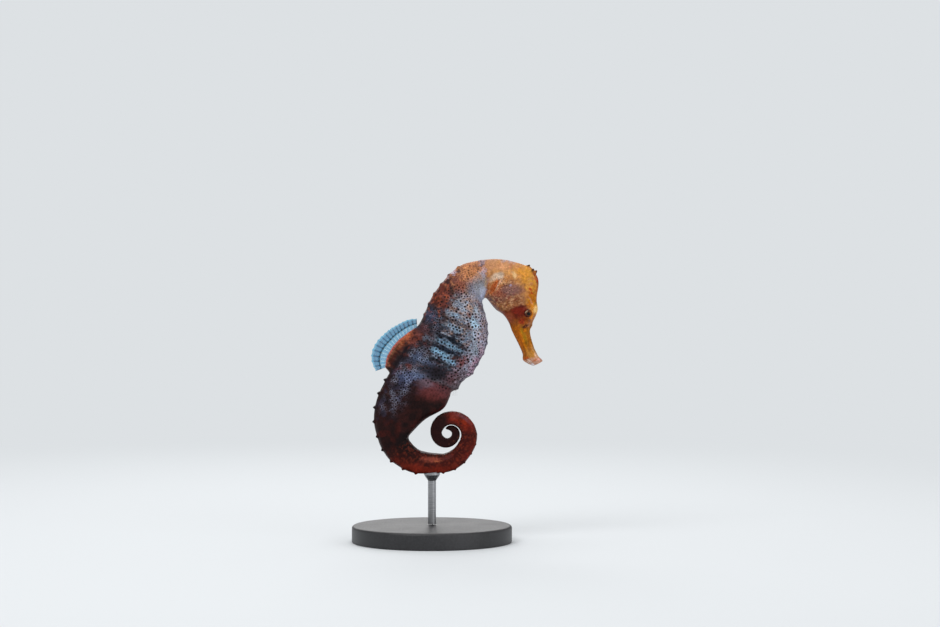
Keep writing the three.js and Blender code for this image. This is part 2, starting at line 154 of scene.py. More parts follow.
# ring, back x and z, belly x and z, half width, squareness, and how far the widest point
# lies towards the back or the belly
SECTIONS = [
    (MOUTH, 33.2, 34.3, 30.2, 32.8, 1.1, 2.0, 0.0),
    (-10.4, 32.8, 34.8, 28.6, 33.5, 1.9, 2.0, 0.0),
    (-10.1, 32.0, 35.5, 27.3, 34.5, 2.1, 2.0, 0.0),
    (-9.7, 31.4, 36.6, 27.2, 36.2, 1.9, 2.0, 0.0),
    (-9.2, 30.6, 38.3, 26.4, 38.3, 1.7, 2.0, 0.0),
    (-7.7, 29.4, 42.9, 24.0, 43.2, 2.0, 2.0, 0.0),
    (-7.0, 30.0, 45.3, 23.1, 45.6, 2.5, 2.0, 0.0),
    (-6.0, 31.7, 49.4, 21.4, 48.1, 3.3, 2.1, -0.1),
    (-5.2, 31.3, 52.5, 19.2, 49.6, 4.0, 2.1, -0.2),
    (-3.8, 31.9, 58.5, 16.8, 52.5, 4.7, 2.1, -0.3),
    (-3.0, 29.6, 62.0, 16.3, 53.0, 4.8, 2.1, -0.3),
    (-2.2, 24.5, 64.0, 16.0, 53.1, 4.5, 2.1, -0.2),
    (-1.2, 18.6, 64.8, 15.7, 53.0, 4.1, 2.1, -0.1),
    (0.0, 10.8, 63.7, 15.3, 52.6, 4.2, 2.1, 0.0),
    (1.2, 7.3, 62.0, 15.0, 52.2, 4.5, 2.2, 0.0),
    (2.2, 4.5, 59.4, 15.2, 50.7, 4.9, 2.2, 0.0),
    (4.3, 0.1, 53.6, 16.6, 44.7, 5.8, 2.2, 0.0),
    (6.4, -2.9, 47.0, 16.1, 38.3, 6.3, 2.2, 0.0),
    (8.6, -6.7, 40.3, 12.6, 31.4, 6.2, 2.2, 0.0),
    (9.3, -7.9, 38.5, 11.6, 29.9, 6.0, 2.2, 0.0),
    (10.0, -9.1, 36.7, 9.3, 28.5, 5.8, 2.2, 0.0),
    (TRUNK_END, -10.7, 34.3, 7.6, 25.9, 5.5, 2.3, 0.0),
    (12.0, -12.1, 31.7, 5.8, 25.0, 5.2, 2.4, 0.0),
    (13.0, -13.9, 28.6, 5.3, 23.3, 5.0, 2.5, 0.0),
    (14.5, -16.6, 22.5, 3.3, 19.8, 4.7, 2.6, 0.0),
    (16.0, -17.4, 16.1, -2.0, 16.7, 4.3, 2.8, 0.0),
    (17.4, -15.9, 9.9, -6.1, 12.7, 3.9, 3.0, 0.0),
    (18.2, -14.4, 6.9, -7.0, 11.3, 3.6, 3.1, 0.0),
    (19.0, -12.2, 4.2, -6.4, 9.8, 3.4, 3.2, 0.0),
    (20.7, -6.0, 0.8, -3.3, 7.3, 3.0, 3.2, 0.0),
]

# The coil of the tail, its angles counted from straight down, turning through +X
COIL_PLACE = (4.5, 12.6)
COIL_START_RING, COIL_SECTIONS, COIL_CROWDING, COIL_SQUARENESS = 22.45, 28, 1.35, 3.2
# angle, and there the distance from the coil's centre to the middle of the tail, and the
# depth of the tail
COIL_TURNS = [
    (-15, 9.4, 6.0), (15, 8.2, 5.7), (45, 7.15, 5.15), (90, 6.6, 4.75),
    (130, 5.6, 4.45), (180, 4.3, 4.2), (225, 3.55, 3.95), (270, 3.25, 3.4),
    (315, 3.05, 3.2), (360, 2.95, 2.85), (405, 2.8, 2.55), (450, 2.65, 2.4),
    (480, 2.3, 2.2), (510, 1.85, 1.6), (540, 1.5, 0.9), (555, 1.4, 0.4),
]
COIL_WIDTH_SHARE = 0.88  # of the depth


def coil_sections():
    """The coil's cross-sections, in the form of SECTIONS."""
    share = np.linspace(0, 1, COIL_SECTIONS + 1)
    along = 1 - (1 - share) ** COIL_CROWDING
    angle, radius, depth = through(COIL_TURNS, mixed(COIL_TURNS[0][0], COIL_TURNS[-1][0], share)).T
    x, z = np.sin(np.radians(angle)), -np.cos(np.radians(angle))
    outer, inner = radius + depth / 2, radius - depth / 2
    columns = [
        mixed(COIL_START_RING, TAIL_TIP, along),
        COIL_PLACE[0] + x * outer,
        COIL_PLACE[1] + z * outer,
        COIL_PLACE[0] + x * inner,
        COIL_PLACE[1] + z * inner,
        depth / 2 * COIL_WIDTH_SHARE,
        np.full_like(x, COIL_SQUARENESS),
        np.zeros_like(x),
    ]
    return np.stack(columns, axis=1)


BODY = np.vstack([SECTIONS, coil_sections()])

TRUNK_RIDGES = (30, 90, 135, 180)  # degrees from the middle of the back
TAIL_RIDGES = (45, 135)
RIDGE = {"trunk": 0.3, "tail": 0.3, "spread": 13, "groove": 0.35}
TAIL_SMOOTHS_FROM = 30  # the ring from which the tail's ridges fade
# the brood pouch: the rings where its end fades, and the degrees where its side does
POUCH = {"end": (16, 18), "side": (70, 95)}


def on_trunk(ring):
    """1 on the trunk, fading into the neck and the tail."""
    return smooth(-1, 2, ring) * (1 - smooth(TRUNK_END, TRUNK_END + 2, ring))


def on_tail(ring):
    """1 on the first of the tail, fading to 0 at its tip."""
    return smooth(TRUNK_END, TRUNK_END + 2, ring) * (1 - smooth(TAIL_SMOOTHS_FROM, TAIL_TIP, ring))


def on_pouch(ring, degrees):
    """1 on the brood pouch, which is smooth."""
    along = smooth(TRUNK_END, TRUNK_END + 1, ring) * (1 - smooth(*POUCH["end"], ring))
    return along * smooth(*POUCH["side"], degrees)


def ring_crest(ring, power):
    """1 on each ring and 0 half way between two, the narrower the higher the power."""
    return ((1 + np.cos(math.tau * ring)) / 2) ** power


def ridge_height(ring, degrees):
    """How far the ridges that run along the body stand out, with a knob on each ring."""

    def peaks(ridges):
        return sum(hump(degrees, at, RIDGE["spread"]) for at in ridges)

    knob = mixed(RIDGE["groove"], 1, ring_crest(ring, 3))
    trunk = RIDGE["trunk"] * on_trunk(ring) * peaks(TRUNK_RIDGES)
    tail = RIDGE["tail"] * on_tail(ring) * (1 - on_pouch(ring, degrees)) * peaks(TAIL_RIDGES)
    return (trunk + tail) * knob


# ---------------- the skin's sections and places

COLUMNS = 160  # points round the body
ROW_STEP = 0.2  # between cross-sections, where they lie furthest apart
HEAD_ROW_STEP = 0.15
FINE_RINGS = 6000  # steps in which the body's length is measured
HEAD_END = (-1.6, -0.8)  # rings over which the head's markings fade into the neck


def even_rings():
    """Rings for the skin's cross-sections, spaced evenly along the body."""
    fine = np.linspace(MOUTH, TAIL_TIP, FINE_RINGS)
    rows = through(BODY, fine)
    middle = (rows[:, 1:3] + rows[:, 3:5]) / 2
    lines = [rows[:, 1:3], rows[:, 3:5], middle]
    steps = np.max([np.linalg.norm(np.diff(line, axis=0), axis=1) for line in lines], axis=0)
    middle_ring = (fine[1:] + fine[:-1]) / 2
    steps /= mixed(HEAD_ROW_STEP, ROW_STEP, smooth(-1.5, 0.5, middle_ring))
    travel = np.concatenate([[0], np.cumsum(steps)])
    return np.interp(np.linspace(0, travel[-1], int(travel[-1])), travel, fine)


rings = even_rings()
rows = through(BODY, rings)
back, belly = rows[:, None, 1:3], rows[:, None, 3:5]
half, squareness, shift = rows[:, 5, None], rows[:, 6, None], rows[:, 7, None]
middle = (back + belly) / 2
depth = np.linalg.norm(back - belly, axis=2)
upward = (back - belly) / depth[..., None]

turn = 360 * np.arange(COLUMNS) / COLUMNS
degrees = np.minimum(turn, 360 - turn)[None, :]
ring = rings[:, None]
sine, cosine = np.sin(np.radians(turn))[None, :], np.cos(np.radians(turn))[None, :]
side = np.sign(sine) * np.abs(sine) ** (2 / squareness)
up = np.sign(cosine) * np.abs(cosine) ** (2 / squareness)
up = up + shift * (1 - up * up)
out_up, out_side = 2 * up / depth, side / half
out_length = np.hypot(out_up, out_side)
out_up, out_side = out_up / out_length, out_side / out_length


def raised(height):
    """The skin's points, standing that far out of the plain loft."""
    spine = middle + upward * (up * depth / 2 + out_up * height)[..., None]
    return np.stack([spine[..., 0], side * half + out_side * height, spine[..., 1]], axis=2)


plain = raised(0)
flank_x, flank_z = plain[..., 0], plain[..., 2]
on_head = 1 - smooth(*HEAD_END, ring)

# ---------------- the skin's relief

RING_LINE = 0.05  # height of the low crest that runs round the body on each ring
# height, degrees from the middle of the back, half length in rings, half width in degrees,
# and the rings from and to
TAIL_SPIKE = {"height": 0.7, "at": 24, "long": 0.11, "wide": 5.5, "from": 11.6, "to": 28}
BACK_KNOB = {"height": 0.4, "at": 13, "long": 0.2, "wide": 9, "from": 0.7, "to": 6.3}
# rings from and to, where its foot lies to the side, and the breadth of its crest
FIN_BASE = {"from": 7.3, "to": 12.1, "foot": 2.3, "crest": 0.9}
# share of the way along the base, height of its crest, length of the ray there, and the
# way the ray points, in degrees from straight ahead
FIN_SHAPE = [
    (0.0, 0.3, 2.6, 88),
    (0.12, 1.3, 3.6, 104),
    (0.3, 2.5, 4.1, 116),
    (0.5, 3.1, 4.6, 132),
    (0.7, 3.1, 5.1, 156),
    (0.85, 2.8, 4.6, 178),
    (1.0, 2.0, 3.2, 203),
]

EYE = {"x": 28.7, "z": 48.5, "side": 2.8, "radius": 1.6}
LID = {"edge": 1.15, "reach": 2.9, "side": 3.86, "rim": 0.1, "socket": 3.2, "fall": 0.3}
GILL_COVER = {"x": 21.9, "z": 55.3, "long": 5.0, "high": 4.3, "height": 0.38, "groove": 0.3}
GILL_FOLDS = {"x": 25.9, "z": 52.3, "turns": 26, "height": 0.035}
CORONET = {"x": 29.9, "z": 61.9, "tilt": 46, "radius": 1.9, "rise": 0.4, "dip": 0.15, "reach": 2.5}
CORONET_POINTS = {"count": 5, "circle": 1.6, "radius": 0.6, "tip": 0.12, "height": 0.55}

# Low ridges of bone under the skin of the head, from one place on the flank to another:
# x and z of each end, half width, height
HEAD_BONES = [
    (30.6, 51.2, 30.2, 57.6, 0.8, 0.28),  # brow, from the eye up to the crown
    (28.6, 51.3, 26.3, 58.5, 0.7, 0.16),  # behind the brow
    (27.4, 46.2, 28.6, 40.5, 0.7, 0.16),  # from under the eye down the snout
    (25.9, 47.6, 23.6, 50.4, 0.8, 0.16),  # cheek
]
# Blunt bumps: x, z, how far from the plane of symmetry, radius, height
BUMPS = [
    (31.2, 50.5, 1.7, 0.45, 0.55),  # spine over the eye
    (29.5, 44.9, 0.0, 0.7, 0.3),  # bump on the nose
    (25.0, 48.2, 3.4, 0.5, 0.4),  # cheek spine
    (22.6, 64.6, 1.2, 0.7, 0.3),  # nape
    (14.6, 64.6, 1.3, 0.7, 0.35),
    (15.6, 60.2, 4.0, 0.8, 0.3),  # shoulder, above and below the gill opening
    (14.9, 56.2, 4.2, 0.8, 0.3),
]
SLOPE_STEP = 0.2  # rings, over which the direction of the back is measured


def outward(ring_there):
    """The back point of a cross-section, and the direction straight out of the back there."""
    back_there, before, after = (
        through(BODY, ring_there + step)[..., 1:3] for step in (0, -SLOPE_STEP, SLOPE_STEP)
    )
    ahead = before - after
    ahead /= np.linalg.norm(ahead, axis=-1)[..., None]
    return back_there, np.stack([-ahead[..., 1], ahead[..., 0]], axis=-1)


height = ridge_height(ring, degrees)

# low crests round each ring, left out on the pouch, the throat and the last of the tail
ringed = (on_trunk(ring) + on_tail(ring)) * (1 - on_pouch(ring, degrees))
throat = (1 - smooth(1, 3.5, ring)) * (1 - smooth(-0.8, -0.2, up))
height += RING_LINE * ring_crest(ring, 5) * ringed * (1 - throat)

# a small spike on each ring of the tail, either side of the middle of its back; near the
# trunk they are longer and closer to the middle, and towards the coil they shrink
spiked = band(ring, TAIL_SPIKE["from"], TAIL_SPIKE["to"], 1.0)
off_ring = ring - np.round(ring)
spike_at = mixed(0.6, 1, smooth(14, 18, ring)) * TAIL_SPIKE["at"]
spike = hump(off_ring, 0, TAIL_SPIKE["long"]) * hump(degrees, spike_at, TAIL_SPIKE["wide"])
fading = mixed(mixed(1.4, 1, smooth(15, 17.5, ring)), 0.4, smooth(18, TAIL_SPIKE["to"], ring))
height += TAIL_SPIKE["height"] * spike * spiked * fading

# a blunt knob on each ring of the upper back, either side of its middle
knob = hump(off_ring, 0, BACK_KNOB["long"]) * hump(degrees, BACK_KNOB["at"], BACK_KNOB["wide"])
height += BACK_KNOB["height"] * knob * band(ring, BACK_KNOB["from"], BACK_KNOB["to"], 0.3)

# the bones of the head
for x0, z0, x1, z1, width, rise in HEAD_BONES:
    run = np.array([x1 - x0, z1 - z0])
    along = ((flank_x - x0) * run[0] + (flank_z - z0) * run[1]) / (run @ run)
    along = np.clip(along, 0, 1)
    away = np.hypot(flank_x - x0 - run[0] * along, flank_z - z0 - run[1] * along)
    height += rise * hump(away, 0, width) * on_head

# the gill cover, a domed plate with a sunk line round its rear and upper edge, raised only
# where the skin faces sideways
plate_x = (flank_x - GILL_COVER["x"]) / GILL_COVER["long"]
plate_z = (flank_z - GILL_COVER["z"]) / GILL_COVER["high"]
plate = np.hypot(plate_x, plate_z)
flat_flank = smooth(0.35, 0.75, np.abs(out_side))
rear = smooth(-0.3, 0.5, 0.45 * plate_z - plate_x)
dome = 1 - smooth(0.86, 1.04, plate)
height += GILL_COVER["height"] * dome * flat_flank * mixed(0.45, 1, rear)
height -= GILL_COVER["groove"] * hump(plate, 1.1, 0.07) * flat_flank * rear
# fine folds that fan out over the gill cover
fan = np.arctan2(flank_z - GILL_FOLDS["z"], flank_x - GILL_FOLDS["x"])
folds = np.cos(fan * GILL_FOLDS["turns"]) * hump(plate, 0.65, 0.3)
height += GILL_FOLDS["height"] * folds * flat_flank

points = raised(height)

# the turret that each eye sits in
eye_away = np.hypot(points[..., 0] - EYE["x"], points[..., 2] - EYE["z"])
near_eye = 1 - smooth(LID["edge"] + 0.3, LID["reach"], eye_away)
near_eye = near_eye * smooth(0.2, 0.5, np.abs(out_side))
lid = LID["side"] + LID["rim"] * hump(eye_away, LID["edge"] + 0.25, 0.2)
lid -= LID["fall"] * np.maximum(eye_away - LID["edge"], 0) ** 2
lid = mixed(LID["socket"], lid, smooth(LID["edge"] - 0.22, LID["edge"] + 0.05, eye_away))
own_side = np.abs(points[..., 1])
lid = np.where(eye_away > LID["edge"] + 0.1, np.maximum(lid, own_side), lid)
points[..., 1] = np.where(side >= 0, 1, -1) * mixed(own_side, lid, near_eye)

# the fleshy base of the dorsal fin
share = (ring - FIN_BASE["from"]) / (FIN_BASE["to"] - FIN_BASE["from"])
crest = through(FIN_SHAPE, np.clip(share, 0, 1))[..., 1]
crest *= smooth(-0.09, 0.03, share) * (1 - smooth(1.0, 1.06, share))
fin_base = 1 - smooth(FIN_BASE["crest"] / 2, FIN_BASE["foot"], np.abs(points[..., 1]))
fin_base = fin_base * (degrees < 90)
_, fin_way = outward(np.broadcast_to(ring, plain.shape[:2]))
points[..., 0] += fin_way[..., 0] * crest * fin_base
points[..., 2] += fin_way[..., 1] * crest * fin_base

# the low crown, a disc with blunt points round its edge
tilt = math.radians(CORONET["tilt"])
crown_axis = np.array([math.sin(tilt), 0, math.cos(tilt)])
crown_ahead = np.array([math.cos(tilt), 0, -math.sin(tilt)])
from_crown = points - np.array([CORONET["x"], 0, CORONET["z"]])
crown_x, crown_y = from_crown @ crown_ahead, from_crown[..., 1]
crown_away = np.hypot(crown_x, crown_y)
crown_top = (from_crown @ crown_axis > -CORONET["reach"]) & (ring < 0)
crown_disc = 1 - smooth(CORONET["radius"] * 0.75, CORONET["radius"] * 1.15, crown_away)
crown = CORONET["rise"] * crown_disc - CORONET["dip"] * hump(crown_away, 0, 0.8)
crown_points = np.zeros_like(crown)
for i in range(CORONET_POINTS["count"]):
    angle = math.tau * i / CORONET_POINTS["count"]
    point_x = CORONET_POINTS["circle"] * math.cos(angle)
    point_y = CORONET_POINTS["circle"] * math.sin(angle)
    away = np.hypot(crown_x - point_x, crown_y - point_y)
    point = 1 - smooth(CORONET_POINTS["tip"], CORONET_POINTS["radius"], away)
    crown_points = np.maximum(crown_points, point)
crown += CORONET_POINTS["height"] * crown_points
points += (crown * crown_top)[..., None] * crown_axis

# blunt bumps, standing straight out of the skin
skin_way = np.stack([upward[..., 0] * out_up, out_side, upward[..., 1] * out_up], axis=2)
for x, z, bump_side, radius, rise in BUMPS:
    away = np.hypot(points[..., 0] - x, points[..., 2] - z)
    away = np.hypot(away, np.abs(points[..., 1]) - bump_side)
    points += (rise * hump(away, 0, radius))[..., None] * skin_way

# ---------------- the skin's colours

# Coats of colour, each over the last: what it is, rings from and to, softness along the
# body, up from and to, softness round the body, colour, strength
COATS = [
    ("trunk", -1.2, 11.5, 0.3, -2, 2, 0.1, "6C6872", 1.0),
    ("head", -20, -1.0, 0.2, -2, 2, 0.1, "AE7440", 1.0),
    ("snout", -10.2, -7.2, 0.15, -2, 2, 0.1, "AC6608", 1.0),
    ("front of the snout", -10.3, -9.4, 0.35, -2, 2, 0.1, "AE7836", 0.8),
    ("underside of the snout", -10.1, -7.0, 0.3, -2, -0.4, 0.3, "9A5010", 0.8),
    ("bridge of the snout", -9.6, -7.4, 0.4, 0.62, 2, 0.2, "8E6A1C", 0.3),
    ("lips", -20, -10.1, 0.15, -2, 2, 0.1, "BC8C74", 1.0),
    ("root of the snout", -7.3, -6.4, 0.25, -2, 0.9, 0.2, "87430F", 0.9),
    ("forehead", -6.1, -3.6, 0.3, 0.5, 2, 0.12, "BA6C0C", 1.0),
    ("crown", -4.2, -1.9, 0.5, 0.36, 2, 0.18, "CC8A34", 1.0),
    ("nape", -2.6, -0.8, 0.4, 0.3, 2, 0.2, "BA845A", 1.0),
    ("face", -5.5, -3.8, 0.25, -2, 0.45, 0.15, "955F3C", 1.0),
    ("cheek", -4.5, -2.8, 0.45, -1.1, 0.12, 0.25, "74493E", 0.9),
    ("lower cheek", -3.2, -1.15, 0.35, -0.85, -0.3, 0.2, "8C4A2C", 0.85),
    ("patch round the eye", -6.6, -5.45, 0.16, -2, 0.42, 0.22, "74280C", 0.9),
    ("jaw", -6.9, -5.9, 0.25, -2, -0.6, 0.25, "984C34", 0.75),
    ("edge of the throat", -5.6, -1.2, 0.3, -2, -0.86, 0.1, "857077", 0.7),
    ("shoulder", -0.9, 1.8, 0.3, 0.1, 2, 0.3, "AC704A", 1.0),
    ("behind the gills", -1.15, 0.1, 0.2, -2, -0.3, 0.2, "888C9E", 0.95),
    ("throat", 0.0, 2.2, 0.4, -2, -0.32, 0.2, "80808E", 1.0),
    ("edge of the throat", -0.6, 2.4, 0.4, -2, -0.72, 0.12, "9298AC", 0.8),
    ("rust on the shoulder", 1.4, 2.7, 0.3, 0.05, 2, 0.25, "743C2A", 0.9),
    ("upper back", 2.4, 5.1, 0.4, 0.38, 2, 0.16, "62281A", 0.95),
    ("flank", 2.5, 7.0, 0.4, -1.2, 0.3, 0.16, "5C606B", 0.9),
    ("brown under the upper back", 2.2, 4.6, 0.4, 0.16, 0.5, 0.12, "38242A", 0.9),
    ("slate back", 4.9, 7.3, 0.4, 0.36, 2, 0.16, "171620", 0.95),
    ("rear of the flank", 5.2, 7.2, 0.4, -0.45, 0.5, 0.16, "2E3440", 0.9),
    ("dark flank", 6.85, 11.0, 0.25, -0.6, 0.42, 0.14, "1E222C", 0.95),
    ("rear of the back", 7.2, 11.2, 0.4, 0.45, 2, 0.16, "1E1217", 0.95),
    ("red behind the fin's base", 7.5, 8.9, 0.35, 0.78, 2, 0.1, "743A2E", 0.85),
    ("belly", 3.2, 9.6, 0.6, -2, -0.62, 0.16, "847E8C", 0.85),
    ("end of the belly", 9.0, 11.1, 0.4, -2, -0.55, 0.16, "4C3C42", 0.85),
    ("tail", 11.2, 60, 0.45, -2, 2, 0.1, "240C0A", 1.0),
    ("pouch", 11.4, 13.3, 0.45, -2, -0.02, 0.2, "5C3236", 0.95),
    ("dark of the pouch", 13.6, 19.5, 0.8, -2, 0.1, 0.3, "180706", 0.75),
    # painted shade: the inside of the tail's bend, darkened where shade falls
    ("painted shade inside the bend", 16.6, 20.6, 0.6, -2, -0.25, 0.35, "120505", 0.8),
    ("red of the tail", 19.3, 27.5, 1.0, 0.0, 2, 0.4, "62180C", 0.9),
    ("side of the coil", 22.5, 28.8, 0.8, -2, 0.5, 0.5, "3E0C07", 0.8),
    ("brightest of the coil", 28.6, 32.4, 0.9, -0.6, 2, 0.4, "741C0C", 0.9),
    ("inner coil", 33.4, 60, 1.8, -2, 2, 0.1, "220705", 0.95),
]

# Soft spots: what it is, ring, up, half length along the body, half width round it,
# colour, strength. They fade out between these shares of their half length and width.
SPOT_FADE = (0.4, 1.5)
SPOTS = [
    ("red edge of the crown", -3.7, 1.0, 0.7, 0.1, "6E1C10", 0.9),
    ("lilac behind the gill cover", -0.72, 0.25, 0.2, 0.3, "9A8C98", 0.85),
    ("pale throat", -0.4, -0.75, 0.8, 0.22, "B4B8CE", 0.8),
    ("lilac on the nape", -0.66, 0.85, 0.14, 0.25, "8C7C86", 0.85),
    ("lilac on the crown's edge", -1.9, 1.0, 0.3, 0.12, "A2949C", 0.8),
    ("dark on the nape", -0.66, 0.7, 0.14, 0.07, "4A3A44", 0.6),
    ("dark on the nape", 0.0, 0.86, 0.09, 0.05, "5A3020", 0.8),
    ("lilac on the shoulder", 1.5, 0.92, 0.2, 0.12, "C0B4C4", 0.9),
    ("dark on the shoulder", 1.2, 0.8, 0.12, 0.08, "3A2C34", 0.85),
    ("lilac on the back", 2.2, 0.96, 0.16, 0.08, "B09CA2", 0.8),
    ("dark on the back", 0.75, 1.0, 0.14, 0.1, "3A2220", 0.7),
    ("dark on the back", 2.55, 0.84, 0.2, 0.12, "2A1C20", 0.85),
    ("dark on the back", 3.6, 0.87, 0.14, 0.07, "2A1618", 0.8),
    ("rust lobe behind the shoulder", 2.1, 0.28, 0.6, 0.3, "7A4230", 0.85),
    ("brown behind the shoulder", 2.75, 0.18, 0.35, 0.14, "4A3638", 0.8),
    ("slate on the back", 5.9, 0.8, 0.5, 0.16, "3A4058", 0.6),
    ("red on the back", 7.1, 0.82, 0.4, 0.14, "4A2A2C", 0.8),
    ("pale patch on the back", 7.75, 0.64, 0.3, 0.1, "58606E", 0.75),
    ("dark on the back", 8.8, 0.54, 0.6, 0.14, "1C1820", 0.8),
    ("pale patch on the flank", 3.3, 0.08, 0.4, 0.13, "6A6E78", 0.45),
    ("pale patch on the flank", 3.95, 0.2, 0.26, 0.14, "66707E", 0.55),
    ("pale patch on the flank", 4.0, -0.08, 0.28, 0.14, "7C8896", 0.6),
    ("pale patch on the flank", 4.85, 0.15, 0.2, 0.24, "667C8E", 0.7),
    ("pale patch on the flank", 3.4, -0.62, 0.4, 0.12, "8E9AA4", 0.6),
    ("bright patch on the flank", 4.75, -0.56, 0.5, 0.15, "8CA8B8", 0.75),
    ("pale patch on the flank", 5.95, -0.6, 0.5, 0.1, "7C8C9A", 0.7),
    ("pale patch on the flank", 6.9, -0.72, 0.6, 0.1, "7E8C98", 0.7),
    ("pale patch on the flank", 6.0, 0.02, 0.24, 0.28, "60788A", 0.75),
    ("pale patch on the flank", 6.4, -0.34, 0.2, 0.1, "586A7E", 0.6),
    ("brown on the flank", 2.7, -0.35, 0.3, 0.14, "74584C", 0.7),
    ("tan streak on the flank", 3.45, -0.32, 0.3, 0.1, "9A7862", 0.7),
    ("brown on the flank", 4.15, -0.36, 0.26, 0.11, "643828", 0.9),
    ("brown on the flank", 2.4, -0.8, 0.4, 0.1, "664846", 0.6),
    ("dark brown on the flank", 5.45, 0.05, 0.17, 0.28, "2C2024", 0.85),
    ("brown on the flank", 5.35, -0.38, 0.3, 0.08, "5A4440", 0.75),
    ("dark brown on the flank", 6.6, 0.0, 0.14, 0.32, "22222A", 0.85),
    ("dark band on the flank", 7.04, -0.06, 0.18, 0.48, "0D1520", 1.0),
    ("pale stripe", 7.48, -0.06, 0.19, 0.4, "526F82", 1.0),
    ("dark band on the flank", 7.95, -0.08, 0.19, 0.44, "111B29", 1.0),
    ("pale stripe", 8.38, 0.1, 0.22, 0.26, "658AA0", 1.0),
    ("pale stripe", 8.72, -0.3, 0.22, 0.24, "5F8096", 1.0),
    ("dark band on the flank", 9.25, 0.0, 0.2, 0.4, "12141A", 0.95),
    ("grey patch on the flank", 9.75, 0.22, 0.26, 0.32, "30384A", 0.8),
    ("grey patch on the flank", 9.8, 0.56, 0.6, 0.14, "3C465C", 0.8),
    ("dark behind the stripes", 10.4, -0.25, 0.7, 0.3, "17131A", 0.9),
    ("red on the belly", 8.4, -0.58, 0.7, 0.1, "582620", 0.95),
    ("red at the end of the belly", 10.2, -0.66, 0.8, 0.14, "48262A", 0.7),
    ("magenta edge of the belly", 8.0, -0.93, 1.4, 0.06, "8A4A62", 0.45),
    # painted shade: a thin dark line along the keel of the belly, where its side turns away
    ("painted shade on the keel of the belly", 7.2, -1.0, 3.4, 0.035, "241C2C", 0.9),
    ("blue patch", 11.5, 0.22, 0.5, 0.25, "4A5670", 0.8),
    ("blue patch", 12.3, 0.46, 0.5, 0.25, "404A66", 0.7),
    ("lilac edge of the pouch", 12.0, -0.15, 0.6, 0.25, "6A5864", 0.75),
    ("red of the pouch", 13.1, -0.5, 0.7, 0.35, "622A28", 0.6),
    ("dark edge of the tail's base", 10.9, 0.98, 1.1, 0.2, "181014", 0.9),
    ("edge of the pouch", 14.5, -1.0, 3.0, 0.1, "4A1616", 0.5),
    ("red of the outer tail", 21.8, 0.6, 2.2, 0.3, "701E0C", 0.8),
    # painted highlights: pink and orange spots where light falls on the side of the tail
    ("painted pink highlight on the tail", 21.8, -0.4, 0.8, 0.24, "8E4434", 0.85),
    ("painted orange highlight on the tail", 22.2, -0.3, 0.25, 0.08, "B8643C", 0.7),
    ("painted pink highlight on the tail", 23.3, -0.5, 0.8, 0.2, "562624", 0.7),
    # painted highlights: pink and orange spots where light falls on the outer side of the coil
    ("painted pink highlight on the coil", 30.4, 0.62, 1.2, 0.25, "74464C", 0.6),
    ("painted pink highlight on the coil", 31.4, 0.2, 0.7, 0.3, "7A342A", 0.6),
    ("painted orange highlight on the coil", 29.9, 0.15, 0.5, 0.3, "962E10", 0.8),
]

